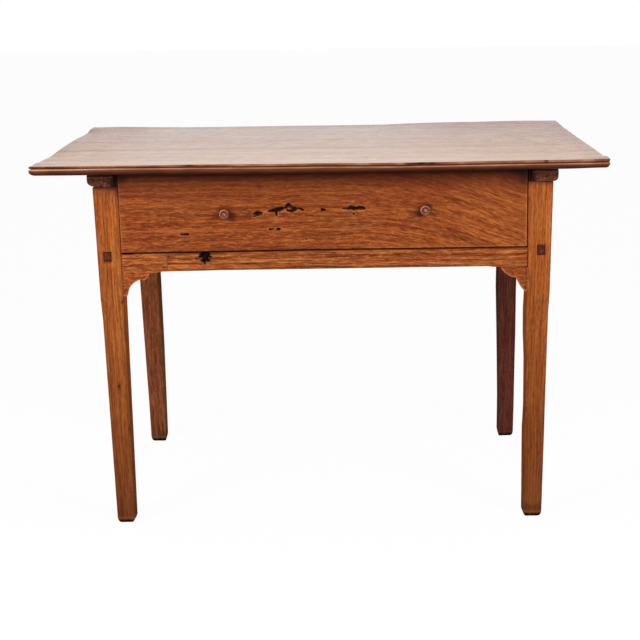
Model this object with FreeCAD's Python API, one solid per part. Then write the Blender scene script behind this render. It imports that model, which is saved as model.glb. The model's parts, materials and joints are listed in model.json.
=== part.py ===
"""Tavern table: a moulded three-board top on two battens, four tapered legs, one drawer.

Millimetres. X runs along the table to the right, Y from the front to the back, Z up.
The origin is on the floor under the middle of the top. Side -1 is left and +1 is right,
end -1 is the front and +1 is the back. The frame stands a little to the right under the top:
the pieces are worked out from the frame's middle and moved over together at the end.
"""
import FreeCAD, Part
import math
import os

from FreeCAD import Vector

# Overall
top_length = 1050.0
top_depth = 589.0
front_overhang = 71.5
rear_overhang = 39.5
side_overhang = 93.5
frame_shift = 3.3

# Top: three boards, edge to edge, with a moulded edge all round
top_thickness = 17.5
front_board_width = 228.0
middle_board_width = 116.0
front_curl_length = 100.0
front_curl_radius = 1100.0
rear_curl_length = 62.0
rear_curl_radius = 760.0
under_round_in = 12.0
under_round_up = 8.0
lower_member = 11.0
lower_arris = 1.5
quirk_height = 1.3
quirk_depth = 4.0
seam_dowel_diameter = 7.0
seam_dowel_length = 40.0
seam_dowel_count = 4
seam_dowel_inset = 134.0

# Legs: square, plumb outside and tapered on the two inner faces
leg_height = 686.3
leg_top = 47.5
leg_foot = 36.5
leg_arris = 2.5
foot_round = 5.0
leg_tenon = 20.0
leg_tenon_height = 18.0

# Battens over the legs
batten_thickness = 28.7
batten_outer_lap = 8.5
batten_inner_setback = 9.0
batten_inner_slope = 6.0
batten_outer_round = 9.0
batten_proud = 3.0
batten_relief_height = 9.2
batten_relief_length = 18.0
top_dowel_diameter = 9.0
top_dowel_in_top = 9.0
top_dowel_in_batten = 14.0

# Side and rear aprons
apron_height = 164.4
side_apron_thickness = 22.0
side_apron_setback = 8.5
rear_apron_thickness = 20.0
rear_apron_setback = 12.0
apron_tenon_thickness = 14.0
through_tenon_height = 18.0
left_tenon_rise = 31.0
right_tenon_rise = 32.3
stub_tenon_height = 40.0
stub_tenon_length = 28.0
stub_tenon_drop = 35.0
rear_tenon_thickness = 10.0
rear_tenon_length = 26.0
tenon_spacing = 3.0
peg_diameter = 6.0
peg_beyond_tenon = 6.0
rear_peg_inset = 12.0
leg_tenon_peg_rise = 11.0

# Front rail, its let-in repair and its two brackets
rail_height = 38.5
rail_thickness = 24.0
rail_relief = 1.5
rail_relief_end = 76.0
rail_relief_run = 12.0
rail_tenon_thickness = 9.0
rail_tenon_height = 15.0
rail_tenon_length = 30.0
patch_length = 88.0
patch_thickness = 9.0
bracket_thickness = 18.0
left_bracket_reach = 60.0
left_bracket_drop = 48.0
right_bracket_reach = 52.0
right_bracket_drop = 49.5
bracket_nail_diameter = 2.0
bracket_nail_length = 24.0
bracket_nail_run = 28.0
bracket_nail_drop = 28.0

# Runners, guides, kickers and stops
runner_width = 36.3
runner_thickness = 20.0
runner_tongue = 8.0
guide_height = 14.0
kicker_height = 14.0
kicker_width = 26.0
kicker_setback = 26.0
strip_nail_diameter = 2.5
guide_nail_length = 26.0
kicker_nail_length = 24.0
strip_nail_count = 3
strip_nail_inset = 61.0
stop_length = 15.7
stop_height = 11.0

# Drawer
drawer_front_thickness = 20.0
drawer_side_thickness = 12.0
drawer_back_thickness = 12.0
drawer_bottom_thickness = 8.0
drawer_bottom_rise = 9.0
drawer_groove_depth = 5.0
drawer_front_arris = 1.2
drawer_end_gap = 2.0
drawer_lower_gap = 1.6
drawer_upper_gap = 2.0
drawer_side_step = 1.0
tail_count = 4
tail_share = 0.62
tail_slope = 1.0 / 6.0
front_lap = 5.0
bottom_nail_diameter = 2.2
bottom_nail_length = 20.0
bottom_nail_count = 5
bottom_nail_inset = 39.0

# Knobs, turned in one piece with the shank
knob_diameter = 17.5
knob_projection = 15.0
knob_base = 13.0
knob_neck = 10.0
knob_shank = 9.0
knob_head = 8.0
knob_rear = 14.8
knob_rim_ease = 1.3
knob_face_fall = 0.4
knob_groove = 1.6
knob_boss = 7.0
knob_boss_sink = 0.5
knob_ring_width = 2.6
knob_spacing = 377.0
knob_shift = 2.0
left_knob_rise = 71.9
right_knob_rise = 74.0

# Clearances
joint_play = 0.2
running_clearance = 0.3
guide_clearance = 0.6
kicker_clearance = 1.0

# How near its expected place an edge has to lie to be picked
edge_slack = 0.1

# Heights and faces that several pieces share
half_length = top_length / 2
frame_half_length = half_length - side_overhang
frame_front = -top_depth / 2 + front_overhang
frame_back = top_depth / 2 - rear_overhang
top_underside = leg_height + batten_thickness
rail_bottom = leg_height - apron_height
rail_top = rail_bottom + rail_height
front_seam = -top_depth / 2 + front_board_width
rear_seam = front_seam + middle_board_width
inner_half_at_top = frame_half_length - leg_top
drawer_half_width = inner_half_at_top - drawer_end_gap
side_outer = drawer_half_width - drawer_side_step
side_inner = side_outer - drawer_side_thickness
side_bottom = rail_top + running_clearance
side_top = top_underside - kicker_height - kicker_clearance
front_inner_face = frame_front + drawer_front_thickness
panel_bottom = side_bottom + drawer_bottom_rise
panel_top = panel_bottom + drawer_bottom_thickness
apron_outer = frame_half_length - side_apron_setback
apron_inner = apron_outer - side_apron_thickness
apron_middle = (apron_outer + apron_inner) / 2
rear_apron_back = frame_back - rear_apron_setback
rear_apron_front = rear_apron_back - rear_apron_thickness
drawer_back_face = rear_apron_front - stop_length - running_clearance
strip_front = frame_front + rail_thickness
through_tenon_rise = {-1: left_tenon_rise, 1: right_tenon_rise}
bracket_reach = {-1: left_bracket_reach, 1: right_bracket_reach}
bracket_drop = {-1: left_bracket_drop, 1: right_bracket_drop}
knob_rise = {-1: left_knob_rise, 1: right_knob_rise}
X_AXIS = Vector(1, 0, 0)
Y_AXIS = Vector(0, 1, 0)


def block(x_pair, y_pair, z_pair):
    """A box between two values on each axis, in either order."""
    low = Vector(min(x_pair), min(y_pair), min(z_pair))
    high = Vector(max(x_pair), max(y_pair), max(z_pair))
    size = high - low
    return Part.makeBox(size.x, size.y, size.z, low)


def around(centre, size):
    """The pair of values half a size each side of a centre."""
    return (centre - size / 2, centre + size / 2)


def spread(low, high, count):
    """Evenly spaced values from a low one to a high one."""
    return [low + (high - low) * i / (count - 1) for i in range(count)]


def rod(diameter, start, end):
    """A round pin between two points."""
    run = end - start
    return Part.makeCylinder(diameter / 2, run.Length, start, run)


def joined(shape, pieces):
    """A shape fused with pieces that grow out of it."""
    return shape.multiFuse(pieces).removeSplitter()


def slab_of_faces(lower, upper):
    """A solid between two four-cornered outlines whose sides are flat."""
    rings = [lower, upper]
    faces = [Part.Face(Part.makePolygon(ring + ring[:1])) for ring in rings]
    for i in range(len(lower)):
        j = (i + 1) % len(lower)
        corners = [lower[i], lower[j], upper[j], upper[i], lower[i]]
        faces.append(Part.Face(Part.makePolygon(corners)))
    return Part.makeSolid(Part.makeShell(faces))


# ---------------------------------------------------------------- legs

def leg_width_at(z):
    """Width of a leg at a height, between the foot and the top."""
    return leg_foot + (leg_top - leg_foot) * z / leg_height


def leg_outline(side, end, z):
    """Corners of a leg's section, turning the same way round for every leg."""
    width = leg_width_at(z)
    outer_x = side * frame_half_length
    outer_y = frame_front if end < 0 else frame_back
    inner_x = outer_x - side * width
    inner_y = outer_y - end * width
    corners = [(outer_x, outer_y), (inner_x, outer_y), (inner_x, inner_y), (outer_x, inner_y)]
    if side == end:
        corners.reverse()
    return [Vector(x, y, z) for x, y in corners]


def leg_blank(side, end):
    """A leg with sharp arrises and no joints, as its neighbours are scribed to it."""
    return slab_of_faces(leg_outline(side, end, 0), leg_outline(side, end, leg_height))


def worn_leg(side, end):
    """A leg with eased long arrises and a foot rounded by wear."""
    sharp = leg_blank(side, end)
    foot_edges = [e for e in sharp.Edges if e.BoundBox.ZMax < foot_round]
    long_edges = [e for e in sharp.Edges if e.BoundBox.ZLength > leg_height / 2]
    return sharp.makeFillet(foot_round, foot_edges).common(sharp.makeFillet(leg_arris, long_edges))


def leg_middle(side, end):
    """Middle of a leg's top, seen from above."""
    corners = leg_outline(side, end, leg_height)
    return (corners[0] + corners[2]) / 2


def leg_top_tenon(side, end, play=0.0):
    """The stub on a leg's top that enters the batten."""
    middle = leg_middle(side, end)
    width = leg_tenon + 2 * play
    return block(around(middle.x, width), around(middle.y, width),
                 (leg_height, leg_height + leg_tenon_height + play))


def leg_cheek(side, end):
    """The thin cheek of a leg that stands up beside the batten's inner face, to the top."""
    _, inner_upper, inner_lower = batten_section_x()
    outer_y = frame_front if end < 0 else frame_back
    corners = [(inner_half_at_top, leg_height), (inner_lower, leg_height),
               (inner_upper, top_underside), (inner_half_at_top, top_underside)]
    corners.append(corners[0])
    face = Part.Face(Part.makePolygon([Vector(side * x, outer_y, z) for x, z in corners]))
    return face.extrude(Vector(0, -end * leg_top, 0))


def leg(side, end):
    """A leg with its top tenon, its cheek and every mortise that its neighbours need."""
    shape = joined(worn_leg(side, end), [leg_top_tenon(side, end), leg_cheek(side, end)])
    mortises = [side_tenon(side, end, upper, joint_play) for upper in (False, True)]
    if end < 0:
        mortises += [rail_tenon(side, joint_play), bracket_nail_rods(side)[1]]
    else:
        mortises.append(rear_apron_tenon(side, joint_play))
        mortises += rear_apron_peg_rods(side)
    mortises += side_apron_peg_rods(side, end) + [leg_tenon_peg_rod(side, end)]
    return shape.cut(mortises)


# ---------------------------------------------------------------- side aprons

def side_tenon_middle(side, upper):
    """Height of the middle of a side apron's tenon."""
    if upper:
        return leg_height - stub_tenon_drop
    return rail_bottom + through_tenon_rise[side]


def side_tenon_inner_end(end, z):
    """Where a leg's inner face lies, front to back, at a height."""
    return (frame_front if end < 0 else frame_back) - end * leg_width_at(z)


def side_tenon(side, end, upper, play=0.0):
    """A side apron's tenon: the lower one runs through the leg, the upper one stops inside."""
    middle = side_tenon_middle(side, upper)
    shoulder = side_tenon_inner_end(end, middle)
    root = shoulder - end * leg_top / 2
    if upper:
        tip = shoulder + end * (stub_tenon_length + play)
        height = stub_tenon_height
    else:
        tip = frame_front if end < 0 else frame_back
        height = through_tenon_height
    return block(around(side * apron_middle, apron_tenon_thickness + 2 * play), (root, tip),
                 around(middle, height + 2 * play))


def side_apron_peg_rods(side, end):
    """Two pegs from the leg's outer face through the side apron's tenons."""
    rods = []
    for upper in (False, True):
        z = side_tenon_middle(side, upper)
        y = side_tenon_inner_end(end, z) + end * stub_tenon_length / 2
        inner = side * (apron_middle - apron_tenon_thickness / 2 - peg_beyond_tenon)
        rods.append(rod(peg_diameter, Vector(side * frame_half_length, y, z), Vector(inner, y, z)))
    return rods


def side_apron(side):
    """The board between a front leg and a rear leg, under the batten."""
    board = block((side * apron_inner, side * apron_outer),
                  (frame_front + leg_foot / 2, frame_back - leg_foot / 2), (rail_bottom, leg_height))
    board = board.cut([leg_blank(side, -1), leg_blank(side, 1)])
    tenons = [side_tenon(side, end, upper).cut(board) for end in (-1, 1) for upper in (False, True)]
    pegs = side_apron_peg_rods(side, -1) + side_apron_peg_rods(side, 1)
    return joined(board, tenons).cut(pegs)


# ---------------------------------------------------------------- rear apron

def rear_tenon_span():
    """Heights of the rear apron's tenon, between the side apron's two tenons."""
    low = rail_bottom + max(left_tenon_rise, right_tenon_rise) + through_tenon_height / 2
    high = leg_height - stub_tenon_drop - stub_tenon_height / 2
    return (low + tenon_spacing, high - tenon_spacing)


def rear_apron_middle():
    """Middle of the rear apron's thickness, front to back."""
    return (rear_apron_front + rear_apron_back) / 2


def rear_apron_tenon(side, play=0.0):
    """The rear apron's tenon in a rear leg."""
    low, high = rear_tenon_span()
    shoulder = frame_half_length - leg_width_at(low)
    tip = shoulder + rear_tenon_length + play
    root = shoulder - leg_foot / 2
    return block((side * root, side * tip),
                 around(rear_apron_middle(), rear_tenon_thickness + 2 * play),
                 (low - play, high + play))


def rear_apron_peg_rods(side):
    """Two pegs from the leg's rear face through the rear apron's tenon."""
    low, high = rear_tenon_span()
    x = side * (frame_half_length - leg_width_at(low) + rear_tenon_length / 2)
    inner = rear_apron_middle() - rear_tenon_thickness / 2 - peg_beyond_tenon
    heights = (low + rear_peg_inset, high - rear_peg_inset)
    return [rod(peg_diameter, Vector(x, frame_back, z), Vector(x, inner, z)) for z in heights]


def rear_apron():
    """The board between the rear legs."""
    reach = frame_half_length - leg_foot / 2
    board = block((-reach, reach), (rear_apron_front, rear_apron_back), (rail_bottom, leg_height))
    board = board.cut([leg_blank(-1, 1), leg_blank(1, 1)])
    tenons = [rear_apron_tenon(side).cut(board) for side in (-1, 1)]
    cuts = rear_apron_peg_rods(-1) + rear_apron_peg_rods(1)
    cuts += [runner_tongue_block(side, 1, joint_play) for side in (-1, 1)]
    return joined(board, tenons).cut(cuts)


# ---------------------------------------------------------------- front rail and brackets

def rail_tenon(side, play=0.0):
    """The front rail's tenon in a front leg, below the side apron's through tenon."""
    through_low = min(left_tenon_rise, right_tenon_rise) - through_tenon_height / 2
    high = rail_bottom + through_low - tenon_spacing
    low = high - rail_tenon_height
    shoulder = frame_half_length - leg_width_at(low)
    tip = shoulder + rail_tenon_length + play
    root = shoulder - leg_foot / 2
    middle = frame_front + rail_thickness / 2
    return block((side * root, side * tip), around(middle, rail_tenon_thickness + 2 * play),
                 (low - play, high + play))


def rail_relief_solid():
    """The shallow hollow in the rail's lower edge, level between a cove beside each bracket."""
    shoulder = frame_half_length - leg_width_at(rail_bottom)
    inner = shoulder - rail_relief_end
    outer = inner + rail_relief_run
    level = rail_bottom + rail_relief
    below = rail_bottom - rail_relief
    radius = (rail_relief_run ** 2 + rail_relief ** 2) / (2 * rail_relief)
    half_turn = math.asin(rail_relief_run / radius) / 2
    middle = Vector(-inner - radius * math.sin(half_turn), 0, level - radius * (1 - math.cos(half_turn)))
    ends = [Vector(-outer, 0, rail_bottom), Vector(-inner, 0, level)]
    left_cove = Part.Arc(ends[0], middle, ends[1]).toShape()
    right_cove = left_cove.mirror(Vector(0, 0, 0), X_AXIS)
    outline = [Vector(outer, 0, rail_bottom), Vector(outer, 0, below), Vector(-outer, 0, below), ends[0]]
    straights = [Part.makeLine(start, finish) for start, finish in zip(outline, outline[1:])]
    straights.append(Part.makeLine(ends[1], Vector(inner, 0, level)))
    face = Part.Face(Part.Wire(Part.__sortEdges__([left_cove, right_cove] + straights)))
    face.translate(Vector(0, frame_front - rail_relief, 0))
    return face.extrude(Vector(0, rail_thickness + 2 * rail_relief, 0))


def rail_board():
    """The front rail and its repair as one board between the front legs."""
    reach = frame_half_length - leg_foot / 2
    board = block((-reach, reach), (frame_front, frame_front + rail_thickness),
                  (rail_bottom, rail_top))
    return board.cut([leg_blank(-1, -1), leg_blank(1, -1), rail_relief_solid()])


def patch_space():
    """The housing at the rail's left end that the let-in repair fills."""
    shoulder = frame_half_length - leg_width_at(rail_bottom)
    return block((-frame_half_length, -shoulder + patch_length),
                 (frame_front, frame_front + patch_thickness), (rail_bottom, rail_top))


def front_rail():
    """The rail under the drawer."""
    board = rail_board().cut(patch_space())
    tenons = [rail_tenon(side).cut(board) for side in (-1, 1)]
    tenons[0] = tenons[0].cut(patch_space())
    cuts = [runner_tongue_block(side, -1, joint_play) for side in (-1, 1)]
    cuts += [bracket_nail_rods(side)[0] for side in (-1, 1)]
    return joined(board, tenons).cut(cuts)


def rail_patch():
    """The repair let into the rail's face at its left end."""
    return rail_board().common(patch_space())


def bracket_outline(side):
    """Lower edge of a bracket as arcs and lines, from its tip under the rail to its foot on the leg.

    Each point is (run from the leg, drop below the rail), as shares of the bracket's reach
    and drop. The left bracket is a lobe and a cove, and the right one is two lobes.
    """
    if side < 0:
        lobe = [(1.0, 0.0), (0.86, 0.08), (0.81, 0.19)]
        swell = [(0.81, 0.19), (0.77, 0.28), (0.67, 0.34)]
        foot = [(0.53, 0.33), (0.27, 0.54), (0.10, 1.0)]
        stretches = [lobe, swell, [swell[-1], foot[0]], foot]
    else:
        lobe = [(1.0, 0.0), (0.83, 0.23), (0.41, 0.43)]
        foot = [(0.36, 0.53), (0.24, 0.77), (0.05, 1.0)]
        stretches = [lobe, [lobe[-1], foot[0]], foot]
    reach = bracket_reach[side]
    drop = bracket_drop[side]
    return [[(run * reach, fall * drop) for run, fall in stretch] for stretch in stretches]


def bracket(side):
    """A small shaped bracket in the corner under the rail."""
    shoulder = frame_half_length - leg_width_at(rail_bottom)

    def point(run, drop):
        return Vector(side * (shoulder - run), frame_front, rail_bottom - drop)

    edges = []
    for stretch in bracket_outline(side):
        points = [point(run, drop) for run, drop in stretch]
        if len(points) == 3:
            edges.append(Part.Arc(*points).toShape())
        else:
            edges.append(Part.makeLine(*points))
    tip = bracket_outline(side)[0][0]
    foot = bracket_outline(side)[-1][-1]
    buried = (-leg_foot / 2, foot[1])
    corner = (-leg_foot / 2, 0.0)
    for start, finish in ((foot, buried), (buried, corner), (corner, tip)):
        edges.append(Part.makeLine(point(*start), point(*finish)))
    face = Part.Face(Part.Wire(Part.__sortEdges__(edges)))
    shape = face.extrude(Vector(0, bracket_thickness, 0))
    return shape.cut([leg_blank(side, -1)] + bracket_nail_rods(side))


def bracket_nail_rods(side):
    """A nail up into the rail, behind its repair, and a nail across into the leg."""
    shoulder = frame_half_length - leg_width_at(rail_bottom)
    y = frame_front + (patch_thickness + bracket_thickness) / 2
    x = side * (shoulder - bracket_nail_run)
    z = rail_bottom - bracket_nail_drop
    half = bracket_nail_length / 2
    low = Vector(x, y, rail_bottom - half)
    upright = rod(bracket_nail_diameter, low, low + Vector(0, 0, bracket_nail_length))
    inner = Vector(side * (shoulder - half), y, z)
    level = rod(bracket_nail_diameter, inner, inner + Vector(side * bracket_nail_length, 0, 0))
    return [upright, level]


# ---------------------------------------------------------------- battens and top

def batten_section_x():
    """Outer, inner upper and inner lower faces of a batten, from the middle of the table."""
    outer = frame_half_length + batten_outer_lap
    inner_upper = inner_half_at_top + batten_inner_setback
    return outer, inner_upper, inner_upper - batten_inner_slope


def batten_blank(side):
    """A batten with its sloping inner face, rounded lower corner and eased front end."""
    outer, inner_upper, inner_lower = batten_section_x()
    front = frame_front - batten_proud
    back = frame_back + batten_proud
    corners = [(outer, top_underside), (inner_upper, top_underside),
               (inner_lower, leg_height), (outer, leg_height), (outer, top_underside)]
    face = Part.Face(Part.makePolygon([Vector(side * x, front, z) for x, z in corners]))
    shape = face.extrude(Vector(0, back - front, 0))
    lower_outer = [e for e in shape.Edges if e.BoundBox.ZMax < leg_height + edge_slack
                   and abs(e.BoundBox.XMin - side * outer) < edge_slack
                   and e.BoundBox.YLength > batten_relief_length]
    shape = shape.makeFillet(batten_outer_round, lower_outer)
    slope = [(front, top_underside), (front, top_underside - batten_relief_height),
             (front + batten_relief_length, top_underside), (front, top_underside)]
    wedge = Part.Face(Part.makePolygon([Vector(side * inner_lower, y, z) for y, z in slope]))
    return shape.cut(wedge.extrude(Vector(side * (outer - inner_lower), 0, 0)))


def leg_tenon_peg_rod(side, end):
    """A peg from the batten's outer face through the leg's top tenon."""
    middle = leg_middle(side, end)
    outer = batten_section_x()[0]
    z = leg_height + leg_tenon_peg_rise
    inner = abs(middle.x) - leg_tenon / 2 - peg_beyond_tenon
    return rod(peg_diameter, Vector(side * outer, middle.y, z), Vector(side * inner, middle.y, z))


def top_dowel_rods(side):
    """Blind dowels between a batten and each board of the top."""
    outer, inner_upper, _ = batten_section_x()
    x = side * (outer + inner_upper) / 2
    bounds = [frame_front - batten_proud, front_seam, rear_seam, frame_back + batten_proud]
    low = top_underside - top_dowel_in_batten
    high = top_underside + top_dowel_in_top
    rods = []
    for start, finish in zip(bounds, bounds[1:]):
        y = (start + finish) / 2
        rods.append(rod(top_dowel_diameter, Vector(x, y, low), Vector(x, y, high)))
    return rods


def batten(side):
    """A batten over a front and a rear leg, which carries the top."""
    cuts = [leg_top_tenon(side, end, joint_play) for end in (-1, 1)]
    cuts += [leg_tenon_peg_rod(side, end) for end in (-1, 1)]
    return batten_blank(side).cut(cuts + top_dowel_rods(side))


def moulding_points():
    """Points of the edge moulding as (distance in from the edge, height over the underside)."""
    bead = (top_thickness - lower_member - quirk_height) / 2
    ease = lower_arris * (1 - math.sqrt(0.5))
    return {
        "under": (under_round_in, 0.0),
        "face_low": (0.0, under_round_up),
        "face_high": (0.0, lower_member - lower_arris),
        "ease": (ease, lower_member - ease),
        "ledge": (lower_arris, lower_member),
        "quirk_low": (quirk_depth, lower_member),
        "quirk_high": (quirk_depth, lower_member + quirk_height),
        "bead_low": (bead, lower_member + quirk_height),
        "bead_nose": (0.0, lower_member + quirk_height + bead),
        "bead_high": (bead, top_thickness),
    }


def moulding_edges(place):
    """The moulding from the underside to the upper face; place turns (in, up) into a point."""
    p = {name: place(*pair) for name, pair in moulding_points().items()}
    half = math.sqrt(0.5)
    swell = place(under_round_in * (1 - half), under_round_up * (1 - half))
    return [Part.Arc(p["under"], swell, p["face_low"]).toShape(),
            Part.makeLine(p["face_low"], p["face_high"]),
            Part.Arc(p["face_high"], p["ease"], p["ledge"]).toShape(),
            Part.makeLine(p["ledge"], p["quirk_low"]),
            Part.makeLine(p["quirk_low"], p["quirk_high"]),
            Part.makeLine(p["quirk_high"], p["bead_low"]),
            Part.Arc(p["bead_low"], p["bead_nose"], p["bead_high"]).toShape()]


def top_section(y):
    """The top's section across its length at one depth, moulded at both ends."""
    edges = []
    for side in (-1, 1):
        def place(inward, up):
            return Vector(side * (half_length - inward), y, top_underside + up)

        edges += moulding_edges(place)
    under = half_length - under_round_in
    upper = half_length - moulding_points()["bead_high"][0]
    top_face = top_underside + top_thickness
    edges.append(Part.makeLine(Vector(-under, y, top_underside), Vector(under, y, top_underside)))
    edges.append(Part.makeLine(Vector(-upper, y, top_face), Vector(upper, y, top_face)))
    face = Part.Face(Part.Wire(Part.__sortEdges__(edges)))
    face.translate(Vector(-frame_shift, 0, 0))
    return face


def curl_angle(length, radius):
    """Angle that a curled edge turns through, in degrees."""
    return math.degrees(math.asin(length / (radius - under_round_up)))


def outer_board(end, seam, length, radius):
    """A long board with a curled, moulded outer edge."""
    start = end * (top_depth / 2 - length)
    angle = curl_angle(length, radius)
    section = top_section(start)
    flat = section.extrude(Vector(0, seam - start, 0))
    centre = Vector(0, start, top_underside + radius)
    curl = section.revolve(centre, Vector(end, 0, 0), angle)
    shape = joined(flat, [curl])
    return shape.cut(plane_off(end, centre, angle))


def plane_off(end, centre, angle):
    """The waste outside the moulding along a curled edge, as a long bar."""
    reach = 2 * quirk_depth

    def place(inward, up):
        return Vector(0, centre.y - end * inward, top_underside + up)

    edges = moulding_edges(place)
    under = place(under_round_in, 0.0)
    bead_high = place(moulding_points()["bead_high"][0], top_thickness)
    outline = [under, under - Vector(0, 0, reach), place(-reach, -reach),
               place(-reach, top_thickness + reach), bead_high + Vector(0, 0, reach), bead_high]
    edges += [Part.makeLine(a, b) for a, b in zip(outline, outline[1:])]
    face = Part.Face(Part.Wire(Part.__sortEdges__(edges)))
    face.rotate(centre, Vector(end, 0, 0), angle)
    face.translate(Vector(-top_length, 0, 0))
    return face.extrude(Vector(2 * top_length, 0, 0))


def seam_dowel_rods(seam):
    """Dowels across a seam between two boards."""
    z = top_underside + top_thickness / 2
    half = seam_dowel_length / 2
    reach = half_length - seam_dowel_inset
    return [rod(seam_dowel_diameter, Vector(x, seam - half, z), Vector(x, seam + half, z))
            for x in spread(-reach, reach, seam_dowel_count)]


def top_cuts():
    """Holes that the dowels and nails leave in the top's boards."""
    cuts = seam_dowel_rods(front_seam) + seam_dowel_rods(rear_seam)
    for side in (-1, 1):
        cuts += top_dowel_rods(side) + kicker_nail_rods(side)
    return cuts


def top_front_board():
    """The wide front board."""
    board = outer_board(-1, front_seam, front_curl_length, front_curl_radius)
    return board.cut(top_cuts())


def top_middle_board():
    """The narrow middle board."""
    board = top_section(front_seam).extrude(Vector(0, middle_board_width, 0))
    return board.cut(top_cuts())


def top_rear_board():
    """The wide rear board."""
    board = outer_board(1, rear_seam, rear_curl_length, rear_curl_radius)
    return board.cut(top_cuts())


# ---------------------------------------------------------------- runners, guides, kickers, stops

def runner_inner():
    """Inner face of a runner, from the middle of the table."""
    return apron_inner - runner_width


def runner_tongue_block(side, end, play=0.0):
    """A runner's tongue in the rail or in the rear apron."""
    inset = leg_arris + joint_play
    x_pair = (side * (runner_inner() + inset - play), side * (inner_half_at_top - inset + play))
    face = strip_front if end < 0 else rear_apron_front
    z = rail_top - runner_thickness / 2
    return block(x_pair, (face - end * runner_tongue, face + end * (runner_tongue + play)),
                 around(z, runner_thickness / 2 + 2 * play))


def drawer_runner(side):
    """The bar that a drawer side slides on, notched round the legs."""
    bar = block((side * runner_inner(), side * apron_inner),
                (strip_front, rear_apron_front),
                (rail_top - runner_thickness, rail_top))
    bar = bar.cut([leg_blank(side, -1), leg_blank(side, 1)])
    tongues = [runner_tongue_block(side, end).cut(bar) for end in (-1, 1)]
    return joined(bar, tongues).cut(guide_nail_rods(side))


def strip_nail_places():
    """Where the nails of a guide or kicker stand, front to back."""
    return spread(strip_front + strip_nail_inset, rear_apron_front - strip_nail_inset, strip_nail_count)


def guide_nail_rods(side):
    """Nails down through a guide into its runner."""
    x = side * (side_outer + guide_clearance + apron_inner) / 2
    top = rail_top + guide_height
    return [rod(strip_nail_diameter, Vector(x, y, top - guide_nail_length), Vector(x, y, top))
            for y in strip_nail_places()]


def drawer_guide(side):
    """The strip beside a drawer side that keeps the drawer straight."""
    strip = block((side * (side_outer + guide_clearance), side * apron_inner),
                  (strip_front, rear_apron_front), (rail_top, rail_top + guide_height))
    return strip.cut([leg_blank(side, -1), leg_blank(side, 1)] + guide_nail_rods(side))


def kicker_nail_rods(side):
    """Nails up through a kicker into the top."""
    inner_lower = batten_section_x()[2]
    x = side * (inner_lower - kicker_width / 2)
    low = top_underside - kicker_height
    return [rod(strip_nail_diameter, Vector(x, y, low), Vector(x, y, low + kicker_nail_length))
            for y in strip_nail_places()]


def drawer_kicker(side):
    """The strip over a drawer side that stops the open drawer from tipping, notched round the legs."""
    _, inner_upper, inner_lower = batten_section_x()
    low = top_underside - kicker_height
    lean = batten_inner_slope * kicker_height / batten_thickness
    inner = inner_lower - kicker_width
    corners = [(inner, low), (inner_upper - lean, low), (inner_upper, top_underside),
               (inner, top_underside), (inner, low)]
    start = frame_front + kicker_setback
    face = Part.Face(Part.makePolygon([Vector(side * x, start, z) for x, z in corners]))
    strip = face.extrude(Vector(0, rear_apron_front - start, 0))
    return strip.cut([leg_cheek(side, end) for end in (-1, 1)] + kicker_nail_rods(side))


def drawer_stop(side):
    """The block behind a drawer side that the closed drawer comes to rest on."""
    return block((side * side_inner, side * side_outer),
                 (drawer_back_face + running_clearance, rear_apron_front),
                 (rail_top, rail_top + stop_height))


# ---------------------------------------------------------------- drawer

def tails(side, root, tip, low, high, play=0.0, outer=None):
    """Dovetails on a drawer side's end, wider at the tip than at the root."""
    pitch = (high - low) / tail_count
    run = abs(tip - root)
    wide = pitch * tail_share
    narrow = wide - 2 * run * tail_slope
    outer = side_outer if outer is None else outer
    shapes = []
    for i in range(tail_count):
        z = low + pitch * (i + 0.5)
        corners = [(root, z - narrow / 2 - play), (tip, z - wide / 2 - play),
                   (tip, z + wide / 2 + play), (root, z + narrow / 2 + play)]
        corners.append(corners[0])
        face = Part.Face(Part.makePolygon([Vector(side * side_inner, y, z) for y, z in corners]))
        shapes.append(face.extrude(Vector(side * (outer - side_inner), 0, 0)))
    return shapes


def front_tails(side, play=0.0, outer=None):
    """The tails that a drawer side keeps in the drawer front."""
    return tails(side, front_inner_face, frame_front + front_lap - play, side_bottom, side_top, play, outer)


def back_tails(side, play=0.0):
    """The tails that a drawer side keeps in the drawer back."""
    back_inner = drawer_back_face - drawer_back_thickness
    return tails(side, back_inner, drawer_back_face, panel_top, side_top, play)


def panel_space(play=0.0):
    """The drawer bottom's panel, with its edges in the grooves."""
    reach = side_inner + drawer_groove_depth - joint_play + play
    start = front_inner_face - drawer_groove_depth + joint_play - play
    return block((-reach, reach), (start, drawer_back_face), (panel_bottom - play, panel_top + play))


def drawer_front_blank():
    """The drawer front, its ends scribed to the legs."""
    low = rail_top + drawer_lower_gap
    high = top_underside - drawer_upper_gap
    lower = frame_half_length - leg_width_at(low) - drawer_end_gap
    upper = frame_half_length - leg_width_at(high) - drawer_end_gap
    corners = [(-lower, low), (lower, low), (upper, high), (-upper, high), (-lower, low)]
    face = Part.Face(Part.makePolygon([Vector(x, frame_front, z) for x, z in corners]))
    shape = face.extrude(Vector(0, drawer_front_thickness, 0))
    front_edges = [e for e in shape.Edges if e.BoundBox.YMax < frame_front + drawer_front_arris]
    return shape.makeFillet(drawer_front_arris, front_edges)


def drawer_front():
    """The drawer front with its sockets, groove and knob holes."""
    cuts = [panel_space(joint_play)]
    for side in (-1, 1):
        cuts += front_tails(side, joint_play, frame_half_length)
        centre = knob_centre(side)
        hole_end = centre + Vector(0, drawer_front_thickness, 0)
        cuts.append(rod(knob_shank + 2 * joint_play, centre, hole_end))
    return drawer_front_blank().cut(cuts)


def drawer_side(side):
    """A drawer side with its tails and the groove for the bottom."""
    back_inner = drawer_back_face - drawer_back_thickness
    board = block((side * side_inner, side * side_outer), (front_inner_face, back_inner),
                  (side_bottom, side_top))
    foot = block((side * side_inner, side * side_outer), (back_inner, drawer_back_face),
                 (side_bottom, panel_top))
    shape = joined(board, [foot] + front_tails(side) + back_tails(side))
    return shape.cut(panel_space(joint_play))


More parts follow.
